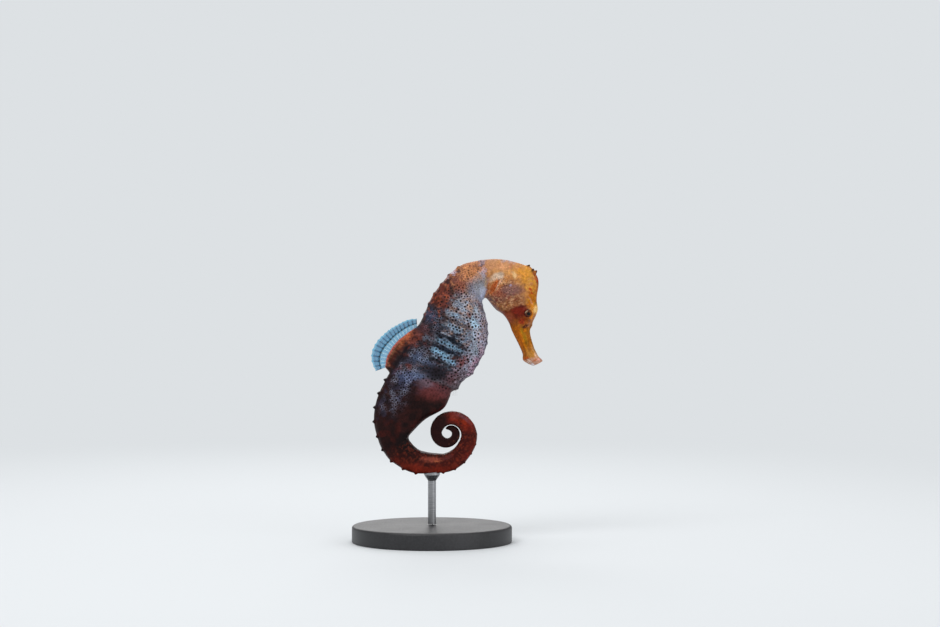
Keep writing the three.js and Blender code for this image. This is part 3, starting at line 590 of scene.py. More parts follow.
# Marks on the sides of the head: what it is, x and z of its middle, half length, half width,
# how far it tilts up towards the front in degrees, colour, strength
MARK_FADE = (0.5, 1.4)
MARKS = [
    ("red patch behind the eye", 26.3, 49.2, 2.6, 1.6, 0, "6C1A0C", 0.95),
    ("dark edge of the patch", 27.0, 50.4, 1.6, 0.4, 0, "4A0E08", 0.8),
    ("dark edge of the patch", 25.2, 47.9, 0.9, 0.3, 15, "541409", 0.6),
    ("red freckled patch", 27.0, 46.2, 1.2, 0.8, 20, "8C2A10", 0.85),
    ("pale mark over the eye", 29.7, 49.9, 0.7, 0.3, 20, "C08E62", 0.7),
    ("orange before the eye", 30.1, 47.7, 1.4, 0.5, 66, "CE780C", 0.9),
    ("pink on the root of the snout", 29.1, 45.3, 0.8, 0.5, 60, "BC7E58", 0.7),
    ("orange beside the brow", 30.0, 50.6, 1.3, 0.6, 80, "D08424", 0.8),
    ("yellow of the brow", 31.2, 49.9, 1.3, 0.9, 80, "ECC078", 0.95),
    ("olive over the brow", 30.6, 51.3, 0.6, 0.5, 0, "94782C", 0.6),
    ("olive band on the snout", 27.6, 41.9, 2.8, 0.5, -73, "947412", 0.6),
    ("orange side of the snout", 28.9, 41.2, 3.2, 0.4, -73, "C06C0A", 0.7),
    ("orange side of the snout", 26.3, 41.4, 3.4, 0.5, -73, "AC5608", 0.7),
    ("pale front of the snout", 30.6, 37.4, 1.8, 0.5, -58, "B88A58", 0.7),
    ("orange corner of the mouth", 28.2, 35.1, 0.8, 0.6, 30, "B4501A", 0.9),
    ("cream lower lip", 29.4, 34.0, 1.0, 0.3, -30, "D2B4A4", 0.9),
    ("cream upper lip", 31.2, 35.9, 1.0, 0.5, -45, "D4AC90", 0.8),
    ("orange of the mouth", 30.9, 34.5, 0.7, 0.35, 20, "BC6636", 0.8),
    ("white tip of the lower lip", 30.1, 33.1, 0.6, 0.35, 0, "E2D6DA", 0.9),
    ("pink of the lips", 32.2, 34.8, 0.6, 0.4, 20, "D0948A", 0.7),
    ("purple middle of the cheek", 23.8, 55.4, 3.0, 2.0, 15, "745250", 0.65),
    ("lilac spot on the cheek", 23.5, 56.8, 0.4, 0.35, 0, "8A86A0", 0.85),
    ("red of the lower cheek", 20.0, 54.4, 2.2, 1.0, -12, "84402A", 0.7),
    ("pink inside of the gill cover's edge", 20.0, 57.2, 1.7, 0.45, 58, "B89078", 0.7),
    ("orange edge of the gill cover", 18.5, 56.7, 2.4, 0.82, 58, "9C4614", 0.9),
    # painted highlights: soft cream patches where light falls on the upper edge of the gill cover
    ("painted highlight on the gill cover's edge", 18.2, 59.1, 1.5, 0.7, 45, "C8AC92", 0.85),
    ("painted highlight on the gill cover's edge", 20.2, 59.6, 1.3, 1.1, 10, "D2BCA6", 0.85),
    ("lilac behind the gill cover", 16.4, 58.0, 1.6, 0.5, 65, "9A8C98", 0.8),
    # painted highlight: a pale cream streak where light falls on the crown
    ("painted highlight on the crown", 24.8, 59.9, 1.1, 0.6, 110, "DCB480", 0.85),
    ("pink on the crown", 23.1, 62.3, 0.6, 0.5, 60, "C88058", 0.7),
    ("gold of the crown", 27.4, 60.6, 2.4, 1.3, -20, "D08C34", 0.7),
    ("red spot on the brow", 29.0, 55.8, 0.5, 0.35, 90, "B03410", 0.95),
    ("red spot on the brow", 29.2, 54.6, 0.4, 0.25, 90, "A42C10", 0.9),
    ("red of the forehead", 31.2, 58.4, 1.2, 0.3, 100, "A8381A", 0.7),
    ("dark streak on the snout", 28.0, 44.7, 1.0, 0.5, 33, "1C0604", 1.0),
    ("pink line down the brow", 29.2, 52.6, 1.7, 0.2, -66, "C08462", 0.7),
]

# Blotches: what they are, rings from and to, up from and to, their size in millimetres,
# colour, strength. Each row has a random seed of its own, counted from the first.
FIRST_SEED = 30
BLOTCH_SOFT = {"ring": 0.5, "up": 0.15}
BLOTCHES = [
    ("orange on the cheek", -5.5, -1.4, -0.95, 0.4, 0.9, "A5703E", 0.45),
    ("brown on the cheek", -5.5, -1.4, -0.95, 0.4, 0.5, "44241E", 0.35),
    ("red freckles on the cheek", -5.3, -1.8, -0.95, 0.15, 0.33, "6A2014", 0.55),
    ("cream on the cheek", -5.5, -1.4, -1.2, 0.35, 0.36, "DCAC80", 0.4),
    ("pink on the crown", -4.4, -1.0, 0.35, 2, 0.7, "DC9C78", 0.3),
    ("gold on the crown", -4.5, -1.4, 0.3, 2, 1.4, "DCA04C", 0.3),
    ("red on the forehead", -6.4, -2.4, 0.5, 2, 0.5, "A2501A", 0.35),
    ("yellow on the forehead", -6.4, -2.4, 0.5, 2, 0.7, "E0A83E", 0.35),
    ("rust on the nape", -2.2, 1.0, 0.4, 2, 1.2, "A06038", 0.3),
    ("orange on the shoulder", -0.6, 2.8, 0.0, 2, 0.8, "B87C4C", 0.5),
    ("brown on the shoulder", -0.6, 2.8, -0.2, 2, 0.5, "50302A", 0.45),
    ("rust on the upper back", 2.0, 6.2, 0.35, 2, 0.8, "96482A", 0.6),
    ("dark on the upper back", 1.8, 7.0, 0.25, 2, 0.6, "28120E", 0.65),
    ("brown on the flank", 2.0, 10.5, -0.9, 0.6, 1.1, "301C18", 0.75),
    ("tan on the flank", 2.0, 7.0, -0.9, 0.3, 0.6, "9A7A66", 0.5),
    ("pale blue on the flank", 2.6, 9.4, -0.9, 0.4, 0.7, "8EA2B4", 0.4),
    ("cream flecks on the flank", 1.6, 6.2, -0.95, 0.35, 0.36, "B09A88", 0.35),
    ("red flecks on the flank", 2.0, 11.0, -0.95, 0.5, 0.36, "4A2018", 0.4),
    ("pale pink on the belly", 5.5, 10.6, -2, -0.5, 0.8, "A08E9A", 0.5),
    ("rust on the rear back", 7.4, 12.0, 0.5, 2, 1.0, "6A2A1A", 0.5),
    ("dark on the rear back", 6.0, 13.0, 0.2, 2, 0.8, "0E0A10", 0.65),
    ("blue on the tail", 10.4, 13.2, -0.15, 0.95, 2.0, "424A62", 0.35),
    ("blue on the tail", 12.8, 15.8, 0.25, 0.95, 1.4, "30364C", 0.35),
    ("dark on the tail's base", 10.6, 16.5, 0.1, 1.0, 1.0, "140E14", 0.5),
    ("red on the pouch", 11.5, 17.0, -2, 0.1, 1.8, "703028", 0.1),
    ("dark on the tail", 17.5, 33.0, -2, 2, 2.4, "0C0302", 0.55),
    ("red on the tail", 16.0, 34.0, -2, 2, 1.6, "6A1C10", 0.15),
    ("orange on the tail", 18.5, 32.0, -2, 2, 0.4, "8E3820", 0.25),
    ("dark on the tail's side", 12.5, 19.0, -2, 0.6, 0.6, "120608", 0.35),
]

FIN_BASE_COLOURS = {
    "front": "B4582C", "rear": "4A1C12", "flecks": "C07E5C", "gaps": "34140F",
    "line": "4E4028", "margin": "BC6258",
}
FIN_RAYS = 17
DARK_TIPS = {"crown": "2C0C08", "tail": "160808"}
# millimetres between dots, in each region
SPACING = {"head": 0.58, "neck": 0.66, "trunk": 0.84, "rear": 0.68}


def ragged(values, *layers):
    """Values made uneven by layers of waves: by how much, the waves' size, their seed."""
    for much, size, seed in layers:
        values = values + much * waves(points, size, seed)
    return values


def blotchy(low, high, size, seed):
    """Random patches of about that size, from 0 where the waves are low to 1 where high."""
    return smooth(low, high, waves(points, size, seed))


# the edges of coats and spots run a little unevenly
ragged_ring = ragged(ring, (0.06, 0.9, 1), (0.06, 0.4, 2))
ragged_up = ragged(up, (0.03, 0.9, 3), (0.03, 0.4, 4))
coat = np.ones(points.shape) * rgb(COATS[0][7])
for _, start, end, soft, low, high, soft_up, written, strength in COATS:
    there = band(ragged_ring, start, end, soft) * band(ragged_up, low, high, soft_up)
    coat = painted(coat, written, there * strength)
for seed, (_, start, end, low, high, size, written, strength) in enumerate(BLOTCHES, FIRST_SEED):
    there = band(ring, start, end, BLOTCH_SOFT["ring"]) * band(up, low, high, BLOTCH_SOFT["up"])
    there *= blotchy(0.1, 0.9, size, seed)
    coat = painted(coat, written, there * strength)
for _, at_ring, at_up, long, wide, written, strength in SPOTS:
    away = np.hypot((ragged_ring - at_ring) / long, (ragged_up - at_up) / wide)
    coat = painted(coat, written, (1 - smooth(*SPOT_FADE, away)) * strength)
ragged_x = ragged(flank_x, (0.12, 0.7, 5), (0.18, 2.0, 16))
ragged_z = ragged(flank_z, (0.12, 0.7, 6), (0.18, 2.0, 17))
for _, x, z, long, wide, tilted, written, strength in MARKS:
    from_x, from_z = ragged_x - x, ragged_z - z
    cos_tilt, sin_tilt = math.cos(math.radians(tilted)), math.sin(math.radians(tilted))
    along = from_x * cos_tilt + from_z * sin_tilt
    across = from_z * cos_tilt - from_x * sin_tilt
    there = (1 - smooth(*MARK_FADE, np.hypot(along / long, across / wide))) * on_head
    coat = painted(coat, written, there * strength)
# fine streaks along the snout: noise that changes little from ring to ring
streaked = np.stack([up * depth / 2, points[..., 1], 0.12 * ring + 0 * up], axis=2)
streaks = waves(streaked, 0.35, 7)
coat = coat * (1 + 0.12 * streaks * (1 - smooth(-7.2, -6.2, ring)))[..., None]

# the base of the dorsal fin: orange in front, dark behind, mottled, with a pink margin at
# its crest and an olive line inside it
base_front = 1 - smooth(0.2, 0.6, ragged(share, (0.08, 1.0, 8)))
base_colour = painted(rgb(FIN_BASE_COLOURS["rear"]), FIN_BASE_COLOURS["front"], base_front)
base_colour = painted(base_colour, FIN_BASE_COLOURS["flecks"], 0.35 * blotchy(0.1, 0.8, 0.45, 11))
base_colour = painted(base_colour, FIN_BASE_COLOURS["gaps"], 0.5 * blotchy(0.1, 0.9, 0.6, 12))
raised_base = fin_base * crest / 3  # 1 where the base is highest
base_edge = 0.12 * waves(points, 0.8, 13) * (fin_base > 0)
coat = mixed(coat, base_colour, smooth(0.02, 0.55, raised_base + base_edge)[..., None])
olive = hump(fin_base, 0.72, 0.08) * smooth(0.5, 1.2, crest)
coat = painted(coat, FIN_BASE_COLOURS["line"], 0.35 * olive)
margin = smooth(0.82, 0.94, fin_base) * smooth(0.3, 1.0, crest)
ticks = mixed(0.75, 1.25, ring_crest(share * FIN_RAYS, 1))
coat = mixed(coat, rgb(FIN_BASE_COLOURS["margin"]) * ticks[..., None], (0.95 * margin)[..., None])

# dark tips on the crown's points and the spikes of the tail
coat = painted(coat, DARK_TIPS["crown"], 0.95 * smooth(0.1, 0.6, crown_points * crown_top))
coat = painted(coat, DARK_TIPS["tail"], 0.85 * smooth(0.15, 0.7, spike * spiked))
# lighter and darker all over, and never quite black
coat = coat * ragged(1, (0.09, 1.8, 9), (0.07, 0.45, 10))[..., None]
coat = np.clip(coat, 0.002, 1)

# how dark the small dots are, from none at 0 to darkest at 1
dotted = largest(
    band(ring, 1.8, 12.2, 0.7) * band(up, -1.2, 0.78, 0.15),  # the trunk
    0.6 * band(ring, -0.9, 2.8, 0.4) * smooth(-0.8, -0.3, up),  # the shoulder
    0.42 * band(ring, -5.6, -1.4, 0.3) * band(up, -0.95, 0.1, 0.15),  # the cheek
    0.8 * hump(np.hypot(flank_x - 26.6, flank_z - 46.0), 0, 0.9),  # below the eye
    0.4 * band(ring, -0.4, 16, 0.6) * band(up, 0.4, 2, 0.2),  # the back
    0.9 * band(ring, 10.5, 14.5, 0.8) * band(up, 0.1, 0.9, 0.15),  # the rear of the trunk
    0.35 * band(ring, 11, 20, 1),  # the first of the tail
)
# where they are finer, on the rear half, and how far apart they are
fine_dots = largest(
    band(ring, 8.6, 16, 0.6) * smooth(-0.1, 0.3, up),
    band(ring, 5.0, 9.2, 0.5) * smooth(0.3, 0.55, up),
)
spacing = mixed(SPACING["neck"], SPACING["trunk"], smooth(2, 4, ring))
spacing = mixed(spacing, SPACING["rear"], fine_dots)
spacing = mixed(spacing, SPACING["head"], on_head)
# how much the skin pales round the dots, so that the dark lies in a pale network
patches = blotchy(-1.1, 1.0, 1.3, 14)
not_in_the_dark = mixed(0.25, 1, smooth(0.012, 0.06, coat.mean(axis=-1)))
behind = fine_dots * mixed(0.2, 1, patches) * band(up, -0.1, 0.86, 0.1)
network = largest(
    0.62 * band(ring, 2.0, 10.6, 0.6) * band(up, -1.2, 0.36, 0.2) * not_in_the_dark,
    mixed(0.8, 1, smooth(8.0, 9.5, ring)) * behind,
    0.25 * band(ring, -0.6, 2.4, 0.5),
    0.25 * band(ring, -4.8, -1.4, 0.4) * band(up, -0.8, 0.1, 0.2),
)
network = network * (1 - smooth(14.5, 16.5, ring)) * (1 - smooth(0.1, 0.6, raised_base))

# ---------------- making meshes


def make_mesh(name, points_mm):
    """A mesh through rows of points, which joins each row's end to its start, with both
    ends closed by a fan round the middle of the row."""
    count, around = points_mm.shape[:2]
    verts = points_mm.reshape(-1, 3)
    i, j = np.meshgrid(np.arange(count - 1), np.arange(around), indexing="ij")
    a = i * around + j
    b = i * around + (j + 1) % around
    quads = np.stack([a, b, b + around, a + around], axis=-1).reshape(-1, 4)
    j = np.arange(around)
    first = np.stack([np.full(around, len(verts)), (j + 1) % around, j], axis=-1)
    start = (count - 1) * around
    last = np.stack([np.full(around, len(verts) + 1), start + j, start + (j + 1) % around], axis=-1)
    verts = np.vstack([verts, points_mm[0].mean(axis=0), points_mm[-1].mean(axis=0)])
    mesh = bpy.data.meshes.new(name)
    mesh.from_pydata((verts * MM).tolist(), [], quads.tolist() + first.tolist() + last.tolist())
    mesh.polygons.foreach_set("use_smooth", np.ones(len(mesh.polygons), bool))
    mesh.update()
    piece = bpy.data.objects.new(name, mesh)
    bpy.context.scene.collection.objects.link(piece)
    return piece


def with_ends(values):
    """One value for each vertex of make_mesh: those of the rows, and one for each end."""
    flat = values.reshape(-1, *values.shape[2:])
    return np.concatenate([flat, values[0].mean(axis=0)[None], values[-1].mean(axis=0)[None]])


def set_colours(piece, colours):
    """Stores the coat, a colour for each vertex."""
    layer = piece.data.color_attributes.new("coat", "FLOAT_COLOR", "POINT")
    rgba = np.concatenate([colours, np.ones((len(colours), 1))], axis=1)
    layer.data.foreach_set("color", rgba.ravel())


def set_numbers(piece, name, values, domain="POINT"):
    """Stores a number or a vector for each vertex, or for each face."""
    kind, field = ("FLOAT_VECTOR", "vector") if values.ndim == 2 else ("FLOAT", "value")
    layer = piece.data.attributes.new(name, kind, domain)
    layer.data.foreach_set(field, values.ravel())


# ---------------- materials


def add(tree, kind, inputs=None, **settings):
    """A shader node, with its inputs set to numbers or joined to other nodes' sockets."""
    made = tree.nodes.new(kind)
    for name, value in settings.items():
        setattr(made, name, value)
    for name, value in (inputs or {}).items():
        if isinstance(value, bpy.types.NodeSocket):
            tree.links.new(value, made.inputs[name])
        else:
            made.inputs[name].default_value = value
    return made


def calculate(tree, operation, *values):
    inputs = dict(enumerate(values))
    return add(tree, "ShaderNodeMath", inputs, operation=operation).outputs[0]


def times(tree, *values):
    return calculate(tree, "MULTIPLY", *values)


def times_plus(tree, *values):
    """The first value times the second, plus the third."""
    return calculate(tree, "MULTIPLY_ADD", *values)


def fitted(tree, value, low, high, to_low=0.0, to_high=1.0):
    """value between low and high, spread smoothly from to_low to to_high."""
    spread = {"From Min": low, "From Max": high, "To Min": to_low, "To Max": to_high}
    inputs = {"Value": value, **spread}
    made = add(tree, "ShaderNodeMapRange", inputs, interpolation_type="SMOOTHSTEP")
    return made.outputs["Result"]


def blended(tree, share, a, b, way="MIX"):
    """Colour a, mixed by a share with colour b."""
    made = add(tree, "ShaderNodeMix", {0: share, 6: a, 7: b}, data_type="RGBA", blend_type=way)
    return made.outputs[2]


def tinted(tree, a, b):
    """Colour a times colour b."""
    return blended(tree, 1.0, a, b, "MULTIPLY")


def grey(tree, value):
    return add(tree, "ShaderNodeCombineColor", {0: value, 1: value, 2: value}).outputs[0]


def here(tree):
    """The place of each point on its piece."""
    return add(tree, "ShaderNodeTexCoord").outputs["Object"]


def distance(tree, offset):
    return add(tree, "ShaderNodeVectorMath", {0: offset}, operation="LENGTH").outputs["Value"]


def grain(tree, size, detail=3.0, roughness=0.5, vector=None):
    """Noise of that size in millimetres."""
    place = vector or here(tree)
    inputs = {"Vector": place, "Scale": 1 / (size * MM), "Detail": detail, "Roughness": roughness}
    return add(tree, "ShaderNodeTexNoise", inputs).outputs["Fac"]


def cells(tree, size):
    """The distance from the middle of the nearest of random cells of that size."""
    inputs = {"Vector": here(tree), "Scale": 1 / (size * MM)}
    return add(tree, "ShaderNodeTexVoronoi", inputs).outputs["Distance"]


def bump(tree, height, distance, strength=1.0):
    inputs = {"Height": height, "Distance": distance * MM, "Strength": strength}
    return add(tree, "ShaderNodeBump", inputs).outputs["Normal"]


def new_material(name, **settings):
    """A material, its node tree and its Principled shader, with plain values on its sockets."""
    made = bpy.data.materials.new(name)
    made.use_nodes = True
    shader = made.node_tree.nodes["Principled BSDF"]
    for socket, value in settings.items():
        shader.inputs[socket.replace("_", " ")].default_value = value
    return made, made.node_tree, shader


def plug(tree, shader, **sockets):
    """Joins other nodes' sockets to the shader's own."""
    for socket, value in sockets.items():
        tree.links.new(value, shader.inputs[socket.replace("_", " ")])


def attribute(tree, name, output="Fac"):
    """What is stored on the mesh under that name."""
    return add(tree, "ShaderNodeAttribute", attribute_name=name).outputs[output]


def shaded_coat(tree, light):
    """The mesh's own colours, made lighter or darker."""
    return tinted(tree, attribute(tree, "coat", "Color"), grey(tree, light))


def colour(written):
    return (*rgb(written), 1.0)


# what the skin's shader adds to its coat: the network round the dots is the coat, so many
# times lighter in red, green and blue, with some blue mixed in
NETWORK_TINT = (2.3, 2.35, 2.5, 1.0)
NETWORK_BLUE, DARK_FLECKS, DOT_TINT = "A8B2CC", "1C1216", "38282A"
# the darkest and the lightest of the stand's base and of its rod
BASE_SHADES, ROD_SHADES = ("252527", "313134"), ("87888B", "A9AAAD")


def skin_material():
    made, tree, shader = new_material(
        "seahorse_skin", Coat_Weight=0.05, Coat_Roughness=0.25, Specular_IOR_Level=0.08
    )
    base = attribute(tree, "coat", "Color")
    network_here = attribute(tree, "network")
    dotted_here = attribute(tree, "dotted")
    # small dark dots with an uneven edge, each with a paler ring round it
    place = here(tree)
    to_dot = {0: place, 1: attribute(tree, "dot_place", "Vector")}
    offset = add(tree, "ShaderNodeVectorMath", to_dot, operation="SUBTRACT").outputs[0]
    away = calculate(tree, "DIVIDE", distance(tree, offset), attribute(tree, "dot_size"))
    wobble = grain(tree, 0.22, detail=1.0, vector=place)
    away = calculate(tree, "ADD", away, times(tree, wobble, 0.7))
    spot = times(tree, fitted(tree, away, 1.0, 1.6, 1.0, 0.0), dotted_here)
    around = times(tree, fitted(tree, away, 1.3, 1.9), fitted(tree, away, 2.1, 3.1, 1.0, 0.0))
    # fine mottling, at two sizes
    coarse, fine = grain(tree, 0.8), grain(tree, 0.16)
    light = times_plus(tree, fine, 0.9, 0.55)
    light = times(tree, light, fitted(tree, coarse, 0.3, 0.7, 0.85, 1.15))
    light = times(tree, light, times_plus(tree, dotted_here, 0.12, 1.0))
    # the pale network round the dots, and pale flecks and dark ones
    specks = grain(tree, 0.3, detail=1.5)
    blue_share = times_plus(tree, calculate(tree, "POWER", network_here, 2.0), 0.3, 0.03)
    pale = blended(tree, blue_share, tinted(tree, base, NETWORK_TINT), colour(NETWORK_BLUE))
    pale_share = times(tree, around, network_here)
    net = times(tree, pale_share, fitted(tree, specks, 0.3, 0.6, 0.5, 1.0))
    specked = times_plus(tree, network_here, 0.8, 0.2)
    pale_flecks = times(tree, fitted(tree, specks, 0.56, 0.68, 0.0, 0.5), specked)
    dark_flecks = times(tree, fitted(tree, specks, 0.46, 0.34, 0.0, 0.55), specked)
    ground = blended(tree, net, base, pale)
    ground = blended(tree, pale_flecks, ground, pale)
    ground = blended(tree, dark_flecks, ground, colour(DARK_FLECKS))
    mottled = tinted(tree, ground, grey(tree, light))
    dark = tinted(tree, mottled, colour(DOT_TINT))
    # a pebbled surface with fine creases, sunk at the dots
    relief = times_plus(tree, fine, 0.6, fitted(tree, cells(tree, 0.3), 0.0, 0.7, 1.0, 0.0))
    relief = times_plus(tree, coarse, 1.2, relief)
    relief = times_plus(tree, spot, -0.5, relief)
    plug(
        tree, shader,
        Base_Color=blended(tree, spot, mottled, dark),
        Roughness=fitted(tree, fine, 0.3, 0.7, 0.4, 0.58),
        Normal=bump(tree, relief, 0.05, 0.8),
    )
    return made


def eye_material():
    made, tree, shader = new_material(
        "eye_globe", Coat_Weight=0.3, Coat_Roughness=0.03, Roughness=0.35, Specular_IOR_Level=0.05
    )
    fibres = fitted(tree, grain(tree, 0.09), 0.3, 0.7, 0.75, 1.2)
    plug(tree, shader, Base_Color=shaded_coat(tree, fibres))
    return made


def fin_material():
    """Thin membrane: its colour and how solid it is come from the mesh."""
    made, tree, shader = new_material("fin_membrane", Coat_Weight=0.3, Coat_Roughness=0.2)
    fine = grain(tree, 0.14)
    value = fitted(tree, fine, 0.3, 0.7, 0.86, 1.1)
    plug(
        tree, shader,
        Base_Color=shaded_coat(tree, value),
        Alpha=times(tree, attribute(tree, "solid"), value),
        Roughness=fitted(tree, fine, 0.3, 0.7, 0.3, 0.45),
        Normal=bump(tree, fine, 0.01),
    )
    return made


def stand_base_material():
    """Satin black, faintly speckled, with a fine moulded grain."""
    made, tree, shader = new_material("stand_base_satin", Specular_IOR_Level=0.45)
    share = times_plus(tree, grain(tree, 0.5, detail=4.0), 0.6, times(tree, grain(tree, 9.0), 0.4))
    plug(
        tree, shader,
        Base_Color=blended(tree, fitted(tree, share, 0.35, 0.65), *map(colour, BASE_SHADES)),
        Roughness=fitted(tree, share, 0.3, 0.7, 0.38, 0.52),
        Normal=bump(tree, grain(tree, 0.25), 0.02, 0.5),
    )
    return made


def stand_rod_material():
    """Brushed steel, the brush marks running round the rod."""
    made, tree, shader = new_material("stand_rod_brushed", Metallic=1.0)
    squeezed = {"Vector": here(tree), "Scale": (0.05, 0.05, 1.0)}
    stretched = add(tree, "ShaderNodeMapping", squeezed).outputs["Vector"]
    marks = grain(tree, 0.12, detail=4.0, vector=stretched)
    rough = fitted(tree, marks, 0.3, 0.7, 0.26, 0.38)
    plug(
        tree, shader,
        Base_Color=blended(tree, fitted(tree, marks, 0.3, 0.7), *map(colour, ROD_SHADES)),
        Roughness=times_plus(tree, grain(tree, 2.5), 0.14, rough),
        Normal=bump(tree, marks, 0.008, 0.6),
    )
    return made


# ---------------- the skin

# The mouth, from the inside out to the edge of the lips: share of the body's height and
# width there, how far it lies in front of the first cross-section, and how light it is,
# the coat being darkened inside the mouth as painted shade
LIPS = [
    (0.06, 0.45, -1.2, 0.25),
    (0.08, 0.55, -0.7, 0.35),
    (0.14, 0.66, -0.2, 0.6),
    (0.3, 0.76, 0.08, 0.9),
    (0.5, 0.84, 0.2, 1),
    (0.74, 0.93, 0.18, 1),
    (0.92, 0.98, 0.08, 1),
]

mouth_up = upward[0, 0]
mouth_middle = np.array([middle[0, 0, 0], 0, middle[0, 0, 1]])
mouth_axis = np.array([mouth_up[0], 0, mouth_up[1]])
mouth_front = np.array([mouth_up[1], 0, -mouth_up[0]])
mouth_rise = (points[0] - mouth_middle) @ mouth_axis
lip_rows = [
    mouth_middle
    + np.outer(mouth_rise * high, mouth_axis)
    + np.outer(points[0, :, 1] * wide, (0, 1, 0))
    + mouth_front * ahead
    for high, wide, ahead, _ in LIPS
]
skin_rows = np.concatenate([np.array(lip_rows), points])
skin_rows[..., 2] += LIFT


def with_lips(values):
    """Values of the skin's rows, with the first row's repeated for the mouth."""
    return with_ends(np.concatenate([np.repeat(values[:1], len(LIPS), axis=0), values]))


skin = make_mesh("seahorse_skin", skin_rows)
# the coat inside the mouth, darkened the deeper it lies, as painted shade
mouth_coat_with_painted_shade = coat[:1] * np.array(LIPS)[:, 3, None, None]
set_colours(skin, with_ends(np.concatenate([mouth_coat_with_painted_shade, coat])))
uneven = 1 - 0.5 * blotchy(-0.2, 0.9, 1.5, 15)
set_numbers(skin, "dotted", with_lips(np.clip(dotted, 0, 1) * uneven))
set_numbers(skin, "network", with_lips(np.clip(network, 0, 1)))


# how each dot's radius, a share of the distance between dots, varies from dot to dot
DOT_SHARE, DOT_VARIES = 0.35, (0.55, 1.25)
DOT_PLACES_SEED, DOT_SIZES_SEED = 11, 12


def tree_of(places):
    """Places, sorted so that those near another place are found fast."""
    tree = kdtree.KDTree(len(places))
    for i, place in enumerate(places):
        tree.insert(place, i)
    tree.balance()
    return tree


def scatter(places, apart):
    """Some of the places, none nearer to another than its own value of apart."""
    tree = tree_of(places)
    taken = np.zeros(len(places), bool)
    chosen = []
    for i in np.random.default_rng(DOT_PLACES_SEED).permutation(len(places)):
        if not taken[i]:
            chosen.append(i)
            taken[[found for _, found, _ in tree.find_range(places[i], apart[i])]] = True
    return chosen


def add_dots(piece, places, apart):
    """Gives each face of the skin the centre and the radius of its nearest dot."""
    chosen = scatter(places, apart)
    tree = tree_of(places[chosen])
    polygons = piece.data.polygons
    centres = np.empty(len(polygons) * 3)
    polygons.foreach_get("center", centres)
    nearest = np.array([tree.find(centre)[1] for centre in centres.reshape(-1, 3) / MM])
    sizes = np.random.default_rng(DOT_SIZES_SEED).uniform(*DOT_VARIES, len(chosen))
    sizes = sizes * apart[chosen] * DOT_SHARE
    set_numbers(piece, "dot_place", places[chosen][nearest] * MM, "FACE")
    set_numbers(piece, "dot_size", sizes[nearest] * MM, "FACE")


add_dots(skin, with_ends(skin_rows), with_lips(spacing))


UV_MARGIN = 0.02  # left free round each strip, as a share of it


def strip_map(piece, count, around, bands):
    """Unwraps rows of faces as strips laid beside each other, for baking."""
    layer = piece.data.uv_layers.new(name="OFBake")
    long = math.ceil((count - 1) / bands)

    def corner(row, column, strip):
        row, column = np.broadcast_arrays(row, column)
        u = (row - strip * long) / long * (1 - UV_MARGIN) + UV_MARGIN / 2
        v = (strip + column / around * (1 - 2 * UV_MARGIN) + UV_MARGIN) / bands
        return np.stack([u, v], axis=-1)

    def face(corners, strip):
        places = [corner(row, column, strip) for row, column in corners]
        return np.stack(places, axis=-2).reshape(-1)

    i, j = np.meshgrid(np.arange(count - 1), np.arange(around), indexing="ij")
    k, end = np.arange(around), count - 1
    every = [
        face([(i, j), (i, j + 1), (i + 1, j + 1), (i + 1, j)], i // long),
        face([(-0.5, k + 0.5), (0, k + 1), (0, k)], 0),
        face([(end + 0.5, k + 0.5), (end, k), (end, k + 1)], bands - 1),
    ]
    layer.data.foreach_set("uv", np.concatenate(every))


strip_map(skin, len(skin_rows), COLUMNS, bands=4)
skin.data.materials.append(skin_material())
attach(skin, "root")
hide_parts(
    "snout", "head", "coronet", "neck", "trunk_upper", "trunk_lower", "brood_pouch",
    "dorsal_fin_base", *(f"tail_{i}" for i in range(1, 9)),
)

# ---------------- eyes

EYE_ROWS, EYE_COLUMNS = 56, 72
EYE_BULGE = 0.1  # of the clear front of the eye
PUPIL = {"x": 0.2, "z": -0.14, "long": 0.62, "high": 0.52}
IRIS = 1.05
EYE_COLOURS = {
    "iris": "44160A", "top": "5E3018", "front": "8A4A14", "arc": "C4AE8C",
    "ring": "8A5622", "rear rim": "4C140A", "front rim": "80420E", "pupil": "040304",
}
EYE_MATERIAL = eye_material()


